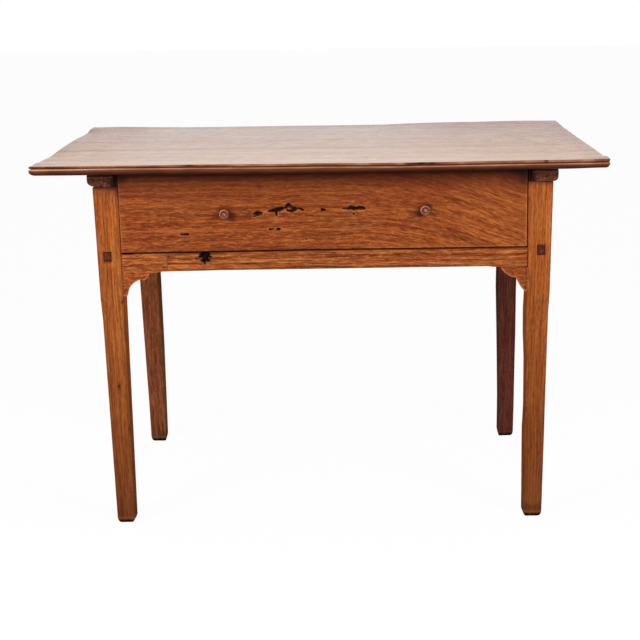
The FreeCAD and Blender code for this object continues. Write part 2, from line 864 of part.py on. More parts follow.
def drawer_back():
    """The drawer back, over the rear edge of the bottom."""
    board = block((-side_outer, side_outer), (drawer_back_face - drawer_back_thickness, drawer_back_face),
                  (panel_top, side_top))
    cuts = bottom_nail_rods()
    for side in (-1, 1):
        cuts += back_tails(side, joint_play)
    return board.cut(cuts)


def bottom_nail_rods():
    """Nails up through the bottom into the drawer back."""
    y = drawer_back_face - drawer_back_thickness / 2
    reach = side_inner - bottom_nail_inset
    top = panel_bottom + bottom_nail_length
    return [rod(bottom_nail_diameter, Vector(x, y, panel_bottom), Vector(x, y, top))
            for x in spread(-reach, reach, bottom_nail_count)]


def drawer_bottom():
    """The panel that closes the drawer."""
    return panel_space().cut(bottom_nail_rods())


def knob_centre(side):
    """Where a knob's axis meets the drawer front's face."""
    x = knob_shift + side * knob_spacing / 2
    return Vector(x, frame_front, rail_top + drawer_lower_gap + knob_rise[side])


def knob(side):
    """A turned knob with a ringed, dished face and a shank through the front."""
    centre = knob_centre(side)

    def point(radius, out):
        return centre + Vector(radius, -out, 0)

    rim = knob_diameter / 2
    boss = knob_boss / 2
    ring = boss + knob_ring_width
    back = knob_projection - knob_head
    eased = knob_projection - knob_face_fall
    boss_face = knob_projection - knob_boss_sink
    inside = point(0, -drawer_front_thickness)
    shank_end = point(knob_shank / 2, -drawer_front_thickness)
    shank_root = point(knob_shank / 2, 0)
    base = point(knob_base / 2, 0)
    rear = point(knob_rear / 2, back)
    front = point(rim - knob_rim_ease, eased)
    face = point(ring, knob_projection)
    boss_edge = point(boss, boss_face)
    tip = point(0, boss_face)
    edges = [Part.makeLine(inside, shank_end),
             Part.makeLine(shank_end, shank_root),
             Part.makeLine(shank_root, base),
             Part.Arc(base, point(knob_neck / 2, back / 2), rear).toShape(),
             Part.Arc(rear, point(rim, (back + eased) / 2), front).toShape(),
             Part.makeLine(front, face),
             Part.Arc(face, point((ring + boss) / 2, knob_projection - knob_groove), boss_edge).toShape(),
             Part.makeLine(boss_edge, tip),
             Part.makeLine(tip, inside)]
    profile = Part.Face(Part.Wire(edges))
    return profile.revolve(centre, Y_AXIS, 360)


# ---------------------------------------------------------------- the whole table

def all_nodes():
    """Every sub-part by the name of its node."""
    nodes = {
        "top_front_board": top_front_board(),
        "top_middle_board": top_middle_board(),
        "top_rear_board": top_rear_board(),
        "front_rail": front_rail(),
        "rail_patch": rail_patch(),
        "rear_apron": rear_apron(),
        "drawer_front": drawer_front(),
        "drawer_back": drawer_back(),
        "drawer_bottom": drawer_bottom(),
        "seam_dowels": Part.makeCompound(seam_dowel_rods(front_seam) + seam_dowel_rods(rear_seam)),
        "drawer_bottom_nails": Part.makeCompound(bottom_nail_rods()),
    }
    paired = {"side_apron": side_apron, "batten": batten, "bracket": bracket, "runner": drawer_runner,
              "guide": drawer_guide, "kicker": drawer_kicker, "drawer_stop": drawer_stop,
              "drawer_side": drawer_side, "knob": knob}
    for side, word in ((-1, "left"), (1, "right")):
        for name, make in paired.items():
            nodes[word + "_" + name] = make(side)
        for end, place in ((-1, "front"), (1, "rear")):
            nodes[place + "_" + word + "_leg"] = leg(side, end)
    corners = [(side, end) for side in (-1, 1) for end in (-1, 1)]
    groups = {
        "side_apron_pegs": [r for side, end in corners for r in side_apron_peg_rods(side, end)],
        "rear_apron_pegs": rear_apron_peg_rods(-1) + rear_apron_peg_rods(1),
        "leg_tenon_pegs": [leg_tenon_peg_rod(side, end) for side, end in corners],
        "top_dowels": top_dowel_rods(-1) + top_dowel_rods(1),
        "bracket_nails": bracket_nail_rods(-1) + bracket_nail_rods(1),
        "guide_nails": guide_nail_rods(-1) + guide_nail_rods(1),
        "kicker_nails": kicker_nail_rods(-1) + kicker_nail_rods(1),
    }
    for name, rods in groups.items():
        nodes[name] = Part.makeCompound(rods)
    return {name: shape.translated(Vector(frame_shift, 0, 0)) for name, shape in nodes.items()}


def main():
    """Write one STEP file for each node."""
    os.makedirs("parts", exist_ok=True)
    for name, shape in all_nodes().items():
        box = shape.BoundBox
        print(name, len(shape.Solids), "solids", shape.isValid(), round(shape.Volume / 1000, 2), "cm3",
              [round(v, 1) for v in (box.XMin, box.XMax, box.YMin, box.YMax, box.ZMin, box.ZMax)])
        shape.exportStep("parts/" + name + ".step")


main()
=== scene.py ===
"""The looks of a worn tavern table: a moulded three-board top, two battens, four legs, one drawer.

Lengths are in millimetres until a mesh is made. X runs along the table to the right, Y from the
front to the back and Z up from the floor, as in the frame. Everything below the top is measured
from the middle between the legs, which stands frame_shift to the right of the top's middle.
"""
import json
import math

import bmesh
import bpy
import numpy as np
from mathutils import Matrix, Vector

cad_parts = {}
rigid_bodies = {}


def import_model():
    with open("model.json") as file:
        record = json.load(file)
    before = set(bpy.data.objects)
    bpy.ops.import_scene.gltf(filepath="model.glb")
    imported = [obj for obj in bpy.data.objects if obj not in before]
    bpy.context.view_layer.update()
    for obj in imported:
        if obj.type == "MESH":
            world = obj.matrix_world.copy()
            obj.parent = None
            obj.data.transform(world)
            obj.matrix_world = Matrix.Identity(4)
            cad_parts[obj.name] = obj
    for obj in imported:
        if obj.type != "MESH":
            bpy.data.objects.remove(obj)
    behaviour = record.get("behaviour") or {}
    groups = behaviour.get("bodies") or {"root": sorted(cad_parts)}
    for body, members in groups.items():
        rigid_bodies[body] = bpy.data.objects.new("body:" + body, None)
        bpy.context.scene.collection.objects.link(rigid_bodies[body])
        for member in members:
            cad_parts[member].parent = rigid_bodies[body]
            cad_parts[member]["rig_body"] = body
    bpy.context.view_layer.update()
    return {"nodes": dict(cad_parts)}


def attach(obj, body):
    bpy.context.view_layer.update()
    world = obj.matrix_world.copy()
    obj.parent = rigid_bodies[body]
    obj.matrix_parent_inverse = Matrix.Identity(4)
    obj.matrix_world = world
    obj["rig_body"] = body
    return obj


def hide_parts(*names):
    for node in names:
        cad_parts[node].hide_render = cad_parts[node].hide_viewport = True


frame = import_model()

MM = 0.001
LEFT, RIGHT = -1, 1
FRONT, REAR = -1, 1
ALONG_X, ALONG_Y, ALONG_Z = range(3)

# Top; a curl is its run in from the edge, measured at the curl line's height, and its radius
frame_shift = 3.3
half_length = 525.0
top_front = -294.5
top_rear = 294.5
front_seam = -66.5
rear_seam = 49.5
top_underside = 715.0
top_thickness = 17.5
front_curl = (100.0, 1100.0)
rear_curl = (62.0, 760.0)
curl_line = 8.0

# Legs
leg_outer = 431.5
legs_front = -223.0
legs_rear = 255.0
leg_height = 686.3
leg_top = 47.5
leg_foot = 36.5
tenon_end = (405.0, 419.0)
tenon_half_height = 9.0
tenon_middle = {LEFT: 552.9, RIGHT: 554.2}
leg_cheek_foot, leg_cheek_head = 3.0, 9.0

# How far a leg's faces have worn or warped towards the right: height, outer face, inner face
leg_bend = {
    (LEFT, FRONT): [(0, 1.5, -0.3), (430, 1.5, -0.3), (470, 0, 0)],
    (RIGHT, FRONT): [(0, -1.5, -1.9), (180, -1.5, -2.0), (230, -1.6, 0.2), (330, -1.7, 0.2),
                     (380, -1.7, -1.9), (430, -1.5, -2.0), (470, 0, 0)],
    (LEFT, REAR): [(0, 3.0, 1.4), (100, 3.0, 1.8), (230, 2.0, 2.0), (363, 1.0, 1.0), (500, 0, 0)],
    (RIGHT, REAR): [(0, 0.4, 1.8), (90, 0.4, 2.6), (190, -0.3, 1.2), (260, -0.4, 0),
                    (363, -1.9, -2.1), (500, 0, 0)],
}

# Front rail, repair and brackets
rail_low = 521.9
rail_high = 560.4
rail_depth = 24.0
rail_half = 388.0
patch_end = -298.64
patch_depth = 9.0
bracket_depth = 18.0
bracket_shoulder = 386.64
joint_half = 386.2

# How far the brackets' faces and the knobs' bases stand behind the legs' fronts
worn_back = 0.25

# Aprons and battens
apron_sides = (401.0, 423.0)
apron_ends = (-178.5, 210.5)
apron_head = leg_height - 0.05
rear_apron_half = 387.6
rear_apron_faces = (223.0, 243.0)
batten_outer, batten_inner, batten_foot = 440.0, 393.0, 387.0
batten_overhang = 3.0
batten_slope, batten_slope_drop = 18.0, 9.2

# How far marks are sunk in: a mortise, the rail's hole and dots, the repair's shakes and slot,
# and the eaten places in the drawer front
mortise_depth = 5.0
hole_depth, dot_depth = 8.0, 2.5
shake_depth, slot_depth = 0.7, 4.0
eaten_depth = 4.2

# Drawer
drawer_low = 562.0
drawer_high = 713.0
drawer_half_low = 384.0
drawer_half_high = 382.0
front_lap = 5.0
knob_height = {LEFT: 633.9, RIGHT: 636.0}
knob_places = {LEFT: -186.5, RIGHT: 190.5}


# ---------------------------------------------------------------- surfaces

def smooth(value, low, high):
    """0 below low, 1 above high and an even S between."""
    t = np.clip((value - low) / (high - low), 0, 1)
    return t * t * (3 - 2 * t)


def hump(value, middle, width):
    """1 at a middle value, falling away evenly on both sides."""
    return np.exp(-((value - middle) / width) ** 2)


def fading(distance, reach):
    """1 up to an edge, falling away with distance past it."""
    return np.exp(-np.maximum(distance, 0) / reach)


def ripple(u, v, seed):
    """Random heights from -1 to 1 on a unit lattice, joined smoothly between lattice points."""
    rows, columns = 97, 89
    heights = np.random.default_rng(seed).uniform(-1, 1, (rows, columns))
    u, v = np.broadcast_arrays(u, v)
    row, column = np.floor(u).astype(int), np.floor(v).astype(int)
    a, b = smooth(u - row, 0, 1), smooth(v - column, 0, 1)
    near, far = (heights[(row + k) % rows, column % columns] * (1 - b)
                 + heights[(row + k) % rows, (column + 1) % columns] * b for k in (0, 1))
    return near * (1 - a) + far * a


def rough(u, v, seed):
    """Three layers of ripple, each twice as fine and half as high as the one before."""
    return sum(ripple(u * 2 ** k, v * 2 ** k, seed + k) / 2 ** k for k in range(3)) / 1.75


def split(points):
    """Copies of the points' X, Y and Z."""
    return (points[..., k].copy() for k in range(3))


def places(low, high, step, *extra):
    """Even places between two ends, both included, with a few further ones sorted in."""
    count = max(2, int(round((high - low) / step)) + 1)
    return np.unique(np.concatenate([np.linspace(low, high, count), np.array(extra, float)]))


def end_places(low, high, step, arris, *extra):
    """Places along a board, close together where its ends are rounded."""
    near = arris * np.array([0, 0.12, 0.4, 0.7, 1.0])
    inner = places(low + arris, high - arris, step, *extra)
    return np.unique(np.concatenate([low + near, inner, high - near]))


def section_ring(sides, turns=3):
    """Ring of a section with rounded corners.

    Gives each point's place on the inner rectangle, from -1 to 1, and its outward direction.
    Corners turn a quarter circle; each side has points at its own shares from corner to corner.
    """
    corners = np.array([(1, 1), (-1, 1), (-1, -1), (1, -1)], float)
    where, outward = [], []
    for k in range(4):
        angle = math.pi / 2 * (k + np.arange(turns + 1) / turns)
        turn = np.stack([np.cos(angle), np.sin(angle)], -1)
        shares = sides[k][(sides[k] > 0.001) & (sides[k] < 0.999)][:, None]
        straight = corners[k] + (corners[(k + 1) % 4] - corners[k]) * shares
        where += [np.repeat(corners[k:k + 1], turns + 1, 0), straight]
        outward += [turn, np.repeat(turn[-1:], len(shares), 0)]
    return np.concatenate(where), np.concatenate(outward)


def board_grid(low, high, axis, arris, along, sides):
    """A board with rounded arrises as rings carried along one axis and drawn in to each end's middle.

    A point is the section's middle, plus its place times (half size - arris), plus its outward
    direction times the arris, which shrinks as a quarter circle towards each end.
    """
    low, high = np.array(low, float), np.array(high, float)
    a, b = (axis + 1) % 3, (axis + 2) % 3
    ring, outward = section_ring(sides)
    from_end = np.minimum(along - low[axis], high[axis] - along).clip(0, arris)
    radius = np.sqrt(np.maximum(arris ** 2 - (arris - from_end) ** 2, 0))
    cap = np.array([0, 0.3, 0.7])
    shrink = np.concatenate([cap, np.ones(len(along)), cap[::-1]])
    radius = np.concatenate([np.zeros(3), radius, np.zeros(3)])
    where = np.concatenate([np.full(3, along[0]), along, np.full(3, along[-1])])
    points = np.zeros((len(ring), len(where), 3))
    facing = np.zeros_like(points)
    for column, k in ((a, 0), (b, 1)):
        middle, half = (low[column] + high[column]) / 2, (high[column] - low[column]) / 2 - arris
        points[..., column] = middle + ring[:, k, None] * half * shrink + outward[:, k, None] * radius
        facing[..., column] = outward[:, k, None] * (shrink == 1)
    points[..., axis] = where
    facing[..., axis] = np.where(shrink == 1, 0, np.where(where > (along[0] + along[-1]) / 2, 1, -1))
    return points, facing


def even_sides(low, high, axis, arris, step):
    """The four sides' points at an even step, as shares."""
    size = np.array(high, float) - np.array(low, float) - 2 * arris
    a, b = (axis + 1) % 3, (axis + 2) % 3
    counts = [max(2, int(size[k] / step) + 1) for k in (a, b, a, b)]
    return [np.linspace(0, 1, count) for count in counts]


def arris_mark(points, low, high, reach=2.5):
    """1 on a box's arrises, falling away with distance from the nearest one."""
    away = np.minimum(points - np.array(low), np.array(high) - points)
    second = np.sort(away, -1)[..., 1]
    return fading(second, reach)


class Skin:
    """A piece's surface, gathered as grids of points in millimetres with marks at each point."""

    def __init__(self):
        self.points, self.faces, self.marks, self.count = [], [], [], 0

    def grid(self, points, ring=False, **marks):
        """Four-sided faces between neighbours of a grid; a ring's last row joins its first."""
        rows, columns = points.shape[:2]
        index = self.count + np.arange(rows * columns).reshape(rows, columns)
        if ring:
            index = np.vstack([index, index[:1]])
        quads = np.stack([index[:-1, :-1], index[1:, :-1], index[1:, 1:], index[:-1, 1:]], -1)
        self.points.append(points.reshape(-1, 3))
        self.faces.append(quads.reshape(-1, 4))
        self.marks.append({k: np.broadcast_to(v, (rows, columns)).ravel() for k, v in marks.items()})
        self.count += rows * columns
        return self

    def mesh(self, name, shift=frame_shift):
        """The grids as one mesh in metres, with its seams and poles merged and its faces outwards."""
        points = (np.concatenate(self.points) + [shift, 0, 0]) * MM
        faces = np.concatenate(self.faces)
        mesh = bpy.data.meshes.new(name)
        mesh.vertices.add(len(points))
        mesh.vertices.foreach_set("co", points.astype(np.float32).ravel())
        mesh.loops.add(faces.size)
        mesh.loops.foreach_set("vertex_index", faces.astype(np.int32).ravel())
        mesh.polygons.add(len(faces))
        mesh.polygons.foreach_set("loop_start", np.arange(0, faces.size, 4, dtype=np.int32))
        mesh.update(calc_edges=True)
        for mark in sorted({k for marks in self.marks for k in marks}):
            parts = [marks.get(mark, np.zeros(len(p))) for marks, p in zip(self.marks, self.points)]
            attribute = mesh.attributes.new(mark, "FLOAT", "POINT")
            attribute.data.foreach_set("value", np.concatenate(parts).astype(np.float32))
        tidy_mesh(mesh)
        return mesh

    def piece(self, node, worked, slot, finish, shift=frame_shift, crease=38):
        """The surface as the piece for a node, named after the node and how it was worked."""
        name = node + "_" + worked
        return set_piece(name, self.mesh(name, shift), [node], finish, crease)


def tidy_mesh(mesh, merge=0.002 * MM):
    """Merges doubles and turns every face outwards."""
    work = bmesh.new()
    work.from_mesh(mesh)
    bmesh.ops.remove_doubles(work, verts=work.verts, dist=merge)
    bmesh.ops.dissolve_degenerate(work, edges=work.edges, dist=merge / 4)
    bmesh.ops.recalc_face_normals(work, faces=work.faces)
    work.to_mesh(mesh)
    work.free()


def set_piece(name, mesh, nodes, finish, crease=38):
    """Puts a mesh in the scene for the nodes it stands for, on the body that they ride on."""
    mesh.shade_smooth()
    mesh.set_sharp_from_angle(angle=math.radians(crease))
    mesh.materials.clear()
    mesh.materials.append(finish)
    piece = bpy.data.objects.new(name, mesh)
    bpy.context.scene.collection.objects.link(piece)
    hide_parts(*nodes)
    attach(piece, frame["nodes"][nodes[0]]["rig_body"])
    return piece


def outside_holes(x, z, holes):
    """Distance outside the nearest hole. A hole is a chain of tapering runs between (x, z, radius)."""
    nearest = np.full(np.broadcast(x, z).shape, 1e3)
    for chain in holes:
        for (x0, z0, r0), (x1, z1, r1) in zip(chain, chain[1:]):
            run = np.array([x1 - x0, z1 - z0])
            t = np.clip(((x - x0) * run[0] + (z - z0) * run[1]) / max(run @ run, 1e-9), 0, 1)
            away = np.hypot(x - x0 - t * run[0], z - z0 - t * run[1]) - (r0 + (r1 - r0) * t)
            nearest = np.minimum(nearest, away)
    return nearest


def spots(x, z, rows):
    """Soft spots (x, z, radius along X, radius along Z, strength), added together."""
    total = np.zeros(np.broadcast(x, z).shape)
    for x0, z0, rx, rz, strength in rows:
        total = total + strength * np.exp(-((x - x0) / rx) ** 2 - ((z - z0) / rz) ** 2)
    return total


# ---------------------------------------------------------------- finishes

def tone(red, green, blue):
    """A colour given as 0 to 255 on a screen, as the share of light that it sends back."""
    share = np.array([red, green, blue]) / 255
    linear = np.where(share <= 0.04045, share / 12.92, ((share + 0.055) / 1.055) ** 2.4)
    return (*[float(v) for v in linear], 1.0)


# Where along X, in metres, a leaning board's figure begins to fall and where its slope is full
LEAN_FROM, LEAN_TO = 0.06, 0.28
# The near black is reached both by soiling and by painted shade.
calm_red, dirt_and_shade_black, hollow_black = tone(114, 48, 24), tone(24, 12, 9), tone(16, 7, 6)


class Wiring:
    """The shader nodes of a material or a world, wired with short calls."""

    def __init__(self, owner):
        owner.use_nodes = True
        self.tree = owner.node_tree

    def node(self, kind, inputs=None, **settings):
        made = self.tree.nodes.new(kind)
        for key, value in settings.items():
            setattr(made, key, value)
        for key, value in (inputs or {}).items():
            self.feed(made.inputs[key], value)
        return made

    def feed(self, socket, value):
        if isinstance(value, bpy.types.NodeSocket):
            self.tree.links.new(value, socket)
        else:
            socket.default_value = value

    def math(self, operation, first, second=0.0, third=0.0, clamp=False):
        return self.node("ShaderNodeMath", {0: first, 1: second, 2: third},
                         operation=operation, use_clamp=clamp).outputs[0]

    def between(self, value, low, high, to_low=0.0, to_high=1.0):
        """Value from low to high as to_low to to_high, held at the ends."""
        return self.node("ShaderNodeMapRange", {
            "Value": value, "From Min": low, "From Max": high, "To Min": to_low, "To Max": to_high,
        }).outputs["Result"]

    def seen(self):
        """1 for light on its way to the camera, straight, off a mirror or through glass."""
        path = self.node("ShaderNodeLightPath").outputs
        straight = self.math("MAXIMUM", path["Is Camera Ray"], path["Is Glossy Ray"])
        return self.math("MAXIMUM", straight, path["Is Transmission Ray"])


class Finish(Wiring):
    """A material's nodes."""

    def __init__(self, name):
        self.material = bpy.data.materials.new(name)
        super().__init__(self.material)
        self.shader = self.tree.nodes["Principled BSDF"]
        self.here = self.node("ShaderNodeTexCoord").outputs["Object"]

    def shape(self, **values):
        """Sets or feeds the shader's own sockets."""
        for key, value in values.items():
            self.feed(self.shader.inputs[key.replace("_", " ")], value)

    def vector(self, operation, *inputs, output="Vector", **named):
        inputs = {**dict(enumerate(inputs)), **named}
        return self.node("ShaderNodeVectorMath", inputs, operation=operation).outputs[output]

    def combine(self, *values):
        return self.node("ShaderNodeCombineXYZ", dict(enumerate(values))).outputs[0]

    def noise(self, vector, detail, crispness, scale=1.0, output="Fac"):
        return self.node("ShaderNodeTexNoise", {
            "Vector": vector, "Scale": scale, "Detail": detail, "Roughness": crispness}).outputs[output]

    def ramp(self, value, stops):
        """A colour for each value, through (place, colour) stops."""
        made = self.node("ShaderNodeValToRGB", {"Fac": value})
        elements = made.color_ramp.elements
        while len(elements) < len(stops):
            elements.new(0.5)
        for element, (place, colour) in zip(elements, stops):
            element.position = place
            element.color = colour
        return made.outputs["Color"]

    def mix(self, factor, first, second, kind="MIX"):
        made = self.node("ShaderNodeMix", data_type="RGBA", blend_type=kind, clamp_factor=True)
        self.feed(made.inputs[0], factor)
        self.feed(made.inputs[6], first)
        self.feed(made.inputs[7], second)
        return made.outputs[2]

    def mark(self, name):
        return self.node("ShaderNodeAttribute", attribute_name=name).outputs["Fac"]

    def axis(self, index):
        return self.node("ShaderNodeSeparateXYZ", {0: self.here}).outputs[index]

    def bump(self, height, strength, distance, normal=None):
        made = self.node("ShaderNodeBump", {
            "Height": height, "Strength": strength, "Distance": distance})
        if normal is not None:
            self.feed(made.inputs["Normal"], normal)
        return made.outputs["Normal"]


def grain_scale(along, run, across):
    """How fine a pattern is on each axis: run along the grain and across on the other two."""
    return tuple(run if axis == along else across for axis in range(3))


def wood_finish(name, along, tones, red, dark, pale, band=110.0, lines=110.0, swirl=4.0, line=0.35,
                wander=0.006, mottle=0.45, fleck=0.6, speck=0.5, foot_grime_and_shade=0.0, lean=0.0, painted_front_light=0.0,
                streak=(26.0, 45.0), calm=0.0, roughness=0.42, ior=1.36, level=0.16, dull_sides=False):
    """Wood under an old worn finish, from colours given as 0 to 255.

    Long noise across the grain picks a tone and growth lines darken by turns up to a sharp edge;
    shorter noise mottles it; fine noise lays fibres, flecks and pores over it; slow noise turns it
    redder in places. A leaning board's figure falls to the right on its right half, and a calm
    board's figure turns into a plain red-brown upwards. A board may be painted paler towards the
    front as painted light, and a leg darker towards the floor, partly soiling and partly painted
    shade. Marks on the piece darken it with soiling and painted shade, pale it with rubbing and
    painted highlights, or hollow it.
    """
    f = Finish(name)
    red, dark, pale = tone(*red), tone(*dark), tone(*pale)

    def layer(run, across, detail, crispness, output="Fac"):
        stretched = f.vector("MULTIPLY", place, grain_scale(along, run, across))
        return f.noise(stretched, detail, crispness, output=output)

    board = f.mark("board")
    place = f.vector("MULTIPLY_ADD", f.combine(board, board, board), (0.71, 0.43, 0.57), f.here)
    sway = f.vector("SUBTRACT", layer(7.0, 14.0, 2.0, 0.5, "Color"), (0.5, 0.5, 0.5))
    place = f.vector("ADD", place, f.vector("SCALE", sway, Scale=wander))
    if lean:
        turning = f.between(f.axis(0), LEAN_FROM, LEAN_TO)
        bend = f.math("MULTIPLY", f.math("MULTIPLY", turning, turning), (LEAN_TO - LEAN_FROM) / 2)
        past = f.math("MAXIMUM", f.math("SUBTRACT", f.axis(0), LEAN_TO), 0.0)
        fall = f.math("MULTIPLY", f.math("ADD", bend, past), math.tan(math.radians(lean)))
        place = f.vector("ADD", place, f.combine(0.0, 0.0, fall))

    rings = layer(1.5, band, 4.0, 0.65)
    patches = layer(streak[0], band * 1.4, 3.0, 0.6)
    fibres = layer(streak[1], band * 3.2, 3.0, 0.7)
    flecks = layer(streak[1] * 3.5, 430.0, 2.0, 0.65)
    pores = layer(90.0, 900.0, 1.0, 0.5)
    slow = layer(3.0, 9.0, 3.0, 0.55)
    drift = layer(1.8, 9.0, 2.0, 0.5)
    across = f.vector("DOT_PRODUCT", place, grain_scale(along, 0.0, lines), output="Value")
    growth = f.math("FRACT", f.math("MULTIPLY_ADD", drift, swirl, across))
    colour = f.ramp(rings, list(zip((0.32, 0.45, 0.55, 0.70), (tone(*shade) for shade in tones))))
    # Each step lays a colour over the rest by an amount, as a value runs from a low to a high
    steps = [(slow, 0.42, 0.68, 0.55, red), (growth, 0.45, 1.0, line, dark),
             (patches, 0.50, 0.72, mottle, dark), (patches, 0.48, 0.28, mottle * 0.7, pale),
             (fibres, 0.52, 0.70, fleck, dark), (fibres, 0.46, 0.28, fleck * 0.7, pale),
             (flecks, 0.52, 0.68, speck, dark), (flecks, 0.46, 0.30, speck * 0.8, pale),
             (pores, 0.60, 0.68, 0.4, dark)]
    if calm:
        steps.append((f.axis(2), 0.632, 0.695, calm, calm_red))
    # Painted light: the board paler towards the front, where the lamps light it more.
    if painted_front_light:
        steps.append((f.axis(1), 0.26, -0.29, painted_front_light, pale))
    # Darker towards the floor, partly soiling and partly painted shade for light falling off downwards;
    # the lowest few centimetres darker still.
    if foot_grime_and_shade:
        reach = f.math("ADD", f.axis(2), f.between(rings, 0.3, 0.7, -0.05, 0.05))
        steps += [(reach, 0.68, 0.0, foot_grime_and_shade, dark), (reach, 0.040, 0.005, 0.6, dark)]
    # The darkening mark carries soiling and painted shade, past 1 up to near black; the paling mark
    # carries rubbing and painted highlights.
    stain, hollow = f.mark("stain"), f.mark("hollow")
    steps += [(stain, 0.0, 1.0, 0.95, dark), (stain, 1.0, 2.0, 1.0, dirt_and_shade_black),
              (stain, 0.0, -1.0, 0.8, pale)]
    for value, low, high, amount, other in steps:
        colour = f.mix(f.between(value, low, high, 0.0, amount), colour, other)
    rubbed_and_highlight = f.math("MULTIPLY", f.mark("wear"), f.between(fibres, 0.3, 0.7, 0.5, 1.0))
    colour = f.mix(hollow, f.mix(rubbed_and_highlight, colour, pale), hollow_black)
    gloss = f.between(fibres, 0.3, 0.7, roughness - 0.05, roughness + 0.07)
    gloss = f.math("MULTIPLY_ADD", hollow, 0.4, gloss, clamp=True)
    if dull_sides:
        dull = f.mark("dull")
        gloss = f.math("MULTIPLY_ADD", dull, 0.3, gloss, clamp=True)
        level = f.math("MULTIPLY_ADD", dull, -0.95 * level, level)
    relief = None
    for height, strength, distance in ((fibres, 0.3, 0.0004), (flecks, 0.25, 0.0004),
                                       (pores, 0.2, 0.0002), (slow, 0.25, 0.002)):
        relief = f.bump(height, strength, distance, relief)
    f.shape(Base_Color=colour, Roughness=gloss, Normal=relief, IOR=ior, Specular_IOR_Level=level)
    return f.material


def iron_finish():
    """Rusted wrought iron: brown rust over dark grey."""
    f = Finish("nail_iron_rusted")
    rust = f.noise(f.here, 4.0, 0.6, 900.0)
    colour = f.ramp(rust, [(0.35, tone(48, 38, 34)), (0.55, tone(84, 50, 34)),
                           (0.75, tone(122, 70, 42))])
    f.shape(Base_Color=colour, Roughness=f.between(rust, 0.3, 0.7, 0.5, 0.8), Metallic=0.6,
            Normal=f.bump(rust, 0.5, 0.0003))
    return f.material


top_wood = wood_finish(
    "top_wood_waxed", ALONG_X, [(130, 84, 55), (166, 112, 76), (187, 130, 92), (210, 155, 113)],
    (187, 116, 84), (98, 43, 27), (232, 186, 144), band=50.0, lines=30.0, swirl=5.0, line=0.2,
    mottle=0.4, fleck=0.5, speck=0.2, painted_front_light=0.35, roughness=0.18, ior=1.5, level=0.5, dull_sides=True)

leg_grain = dict(band=150.0, swirl=6.0, wander=0.003, speck=0.4, streak=(14.0, 20.0), dull_sides=True)
leg_wood = wood_finish(
    "leg_wood_golden", ALONG_Z, [(140, 65, 21), (174, 87, 29), (193, 103, 38), (208, 120, 52)],
    (162, 72, 32), (84, 38, 18), (214, 138, 72), lines=150.0, line=0.5, mottle=0.4, fleck=0.75,
    foot_grime_and_shade=0.8, **leg_grain)
rear_left_leg_wood = wood_finish(
    "rear_leg_wood_brown", ALONG_Z, [(117, 58, 28), (149, 79, 39), (167, 92, 47), (184, 110, 61)],
    (146, 68, 36), (60, 30, 20), (198, 128, 82), lines=130.0, line=0.5, mottle=0.5, fleck=0.8,
    foot_grime_and_shade=0.36, **leg_grain)
rear_right_leg_wood = wood_finish(
    "rear_leg_wood_dark", ALONG_Z, [(60, 25, 18), (82, 36, 25), (94, 43, 29), (110, 56, 38)],
    (90, 34, 26), (42, 17, 13), (134, 76, 52), lines=130.0, line=0.4, mottle=0.4, fleck=0.7, **leg_grain)

rail_wood = wood_finish(
    "rail_wood_orange", ALONG_X, [(112, 45, 16), (158, 75, 28), (183, 93, 37), (208, 120, 58)],
    (162, 70, 32), (70, 27, 12), (222, 148, 84), band=150.0, lines=87.0, swirl=2.5, line=0.8,
    wander=0.003, mottle=0.5, fleck=0.85, streak=(13.0, 22.0))
patch_wood = wood_finish(
    "repair_wood_orange", ALONG_X, [(128, 56, 20), (174, 85, 32), (193, 97, 39), (212, 117, 53)],
    (164, 72, 34), (78, 33, 16), (220, 144, 84), band=140.0, lines=150.0, swirl=3.0, line=0.6,
    wander=0.003, fleck=0.95, speck=0.6, streak=(20.0, 30.0))
bracket_wood = wood_finish(
    "bracket_wood_orange", ALONG_X, [(122, 50, 18), (162, 75, 29), (182, 88, 37), (200, 106, 47)],
    (158, 56, 26), (76, 30, 15), (214, 132, 72), band=140.0, lines=140.0, line=0.4, fleck=0.8, speck=0.8)
drawer_front_wood = wood_finish(
    "drawer_front_wood_ribboned", ALONG_X,
    [(104, 44, 16), (144, 68, 26), (164, 82, 33), (188, 104, 48)], (142, 56, 28), (74, 30, 14),
    (208, 126, 66), band=120.0, lines=120.0, swirl=7.0, line=0.28, wander=0.008, mottle=0.32, fleck=0.64,
    speck=0.62, lean=20.0, streak=(12.0, 22.0), calm=0.6)

batten_wood = wood_finish(
    "batten_wood_dark", ALONG_Y, [(84, 41, 27), (115, 60, 41), (133, 71, 49), (160, 92, 66)],
    (98, 48, 36), (44, 22, 18), (182, 118, 90), mottle=0.7, fleck=0.8, roughness=0.5, level=0.12)
tenon_wood = wood_finish(
    "tenon_end_wood_dark", ALONG_Y, [(60, 22, 14), (84, 34, 22), (102, 44, 28), (124, 62, 38)],
    (94, 32, 24), (38, 14, 10), (150, 86, 58), band=160.0, roughness=0.6, level=0.1)
apron_wood = wood_finish(
    "apron_wood_brown", ALONG_Y, [(92, 46, 22), (124, 64, 32), (142, 78, 42), (160, 94, 54)],
    (122, 56, 34), (70, 34, 18), (176, 112, 70))
rear_apron_wood = wood_finish(
    "rear_apron_wood_brown", ALONG_X, [(90, 46, 22), (122, 64, 32), (140, 78, 42), (158, 94, 54)],
    (120, 56, 34), (68, 34, 18), (174, 112, 70))
inner_wood = wood_finish(
    "inner_wood_bare", ALONG_Y, [(136, 98, 64), (164, 124, 84), (180, 140, 98), (196, 158, 116)],
    (162, 114, 80), (104, 72, 48), (212, 176, 136), roughness=0.62)
knob_wood = wood_finish(
    "knob_wood_turned", ALONG_Y, [(112, 54, 34), (140, 72, 46), (156, 86, 58), (176, 104, 76)],
    (142, 64, 46), (64, 26, 17), (224, 156, 124), band=300.0, roughness=0.32, level=0.3)
peg_wood = wood_finish(
    "peg_wood_dark", ALONG_Y, [(80, 42, 26), (104, 56, 34), (120, 68, 42), (136, 82, 54)],
    (98, 48, 32), (60, 30, 20), (150, 98, 66), band=300.0)
nail_iron = iron_finish()


# ---------------------------------------------------------------- top

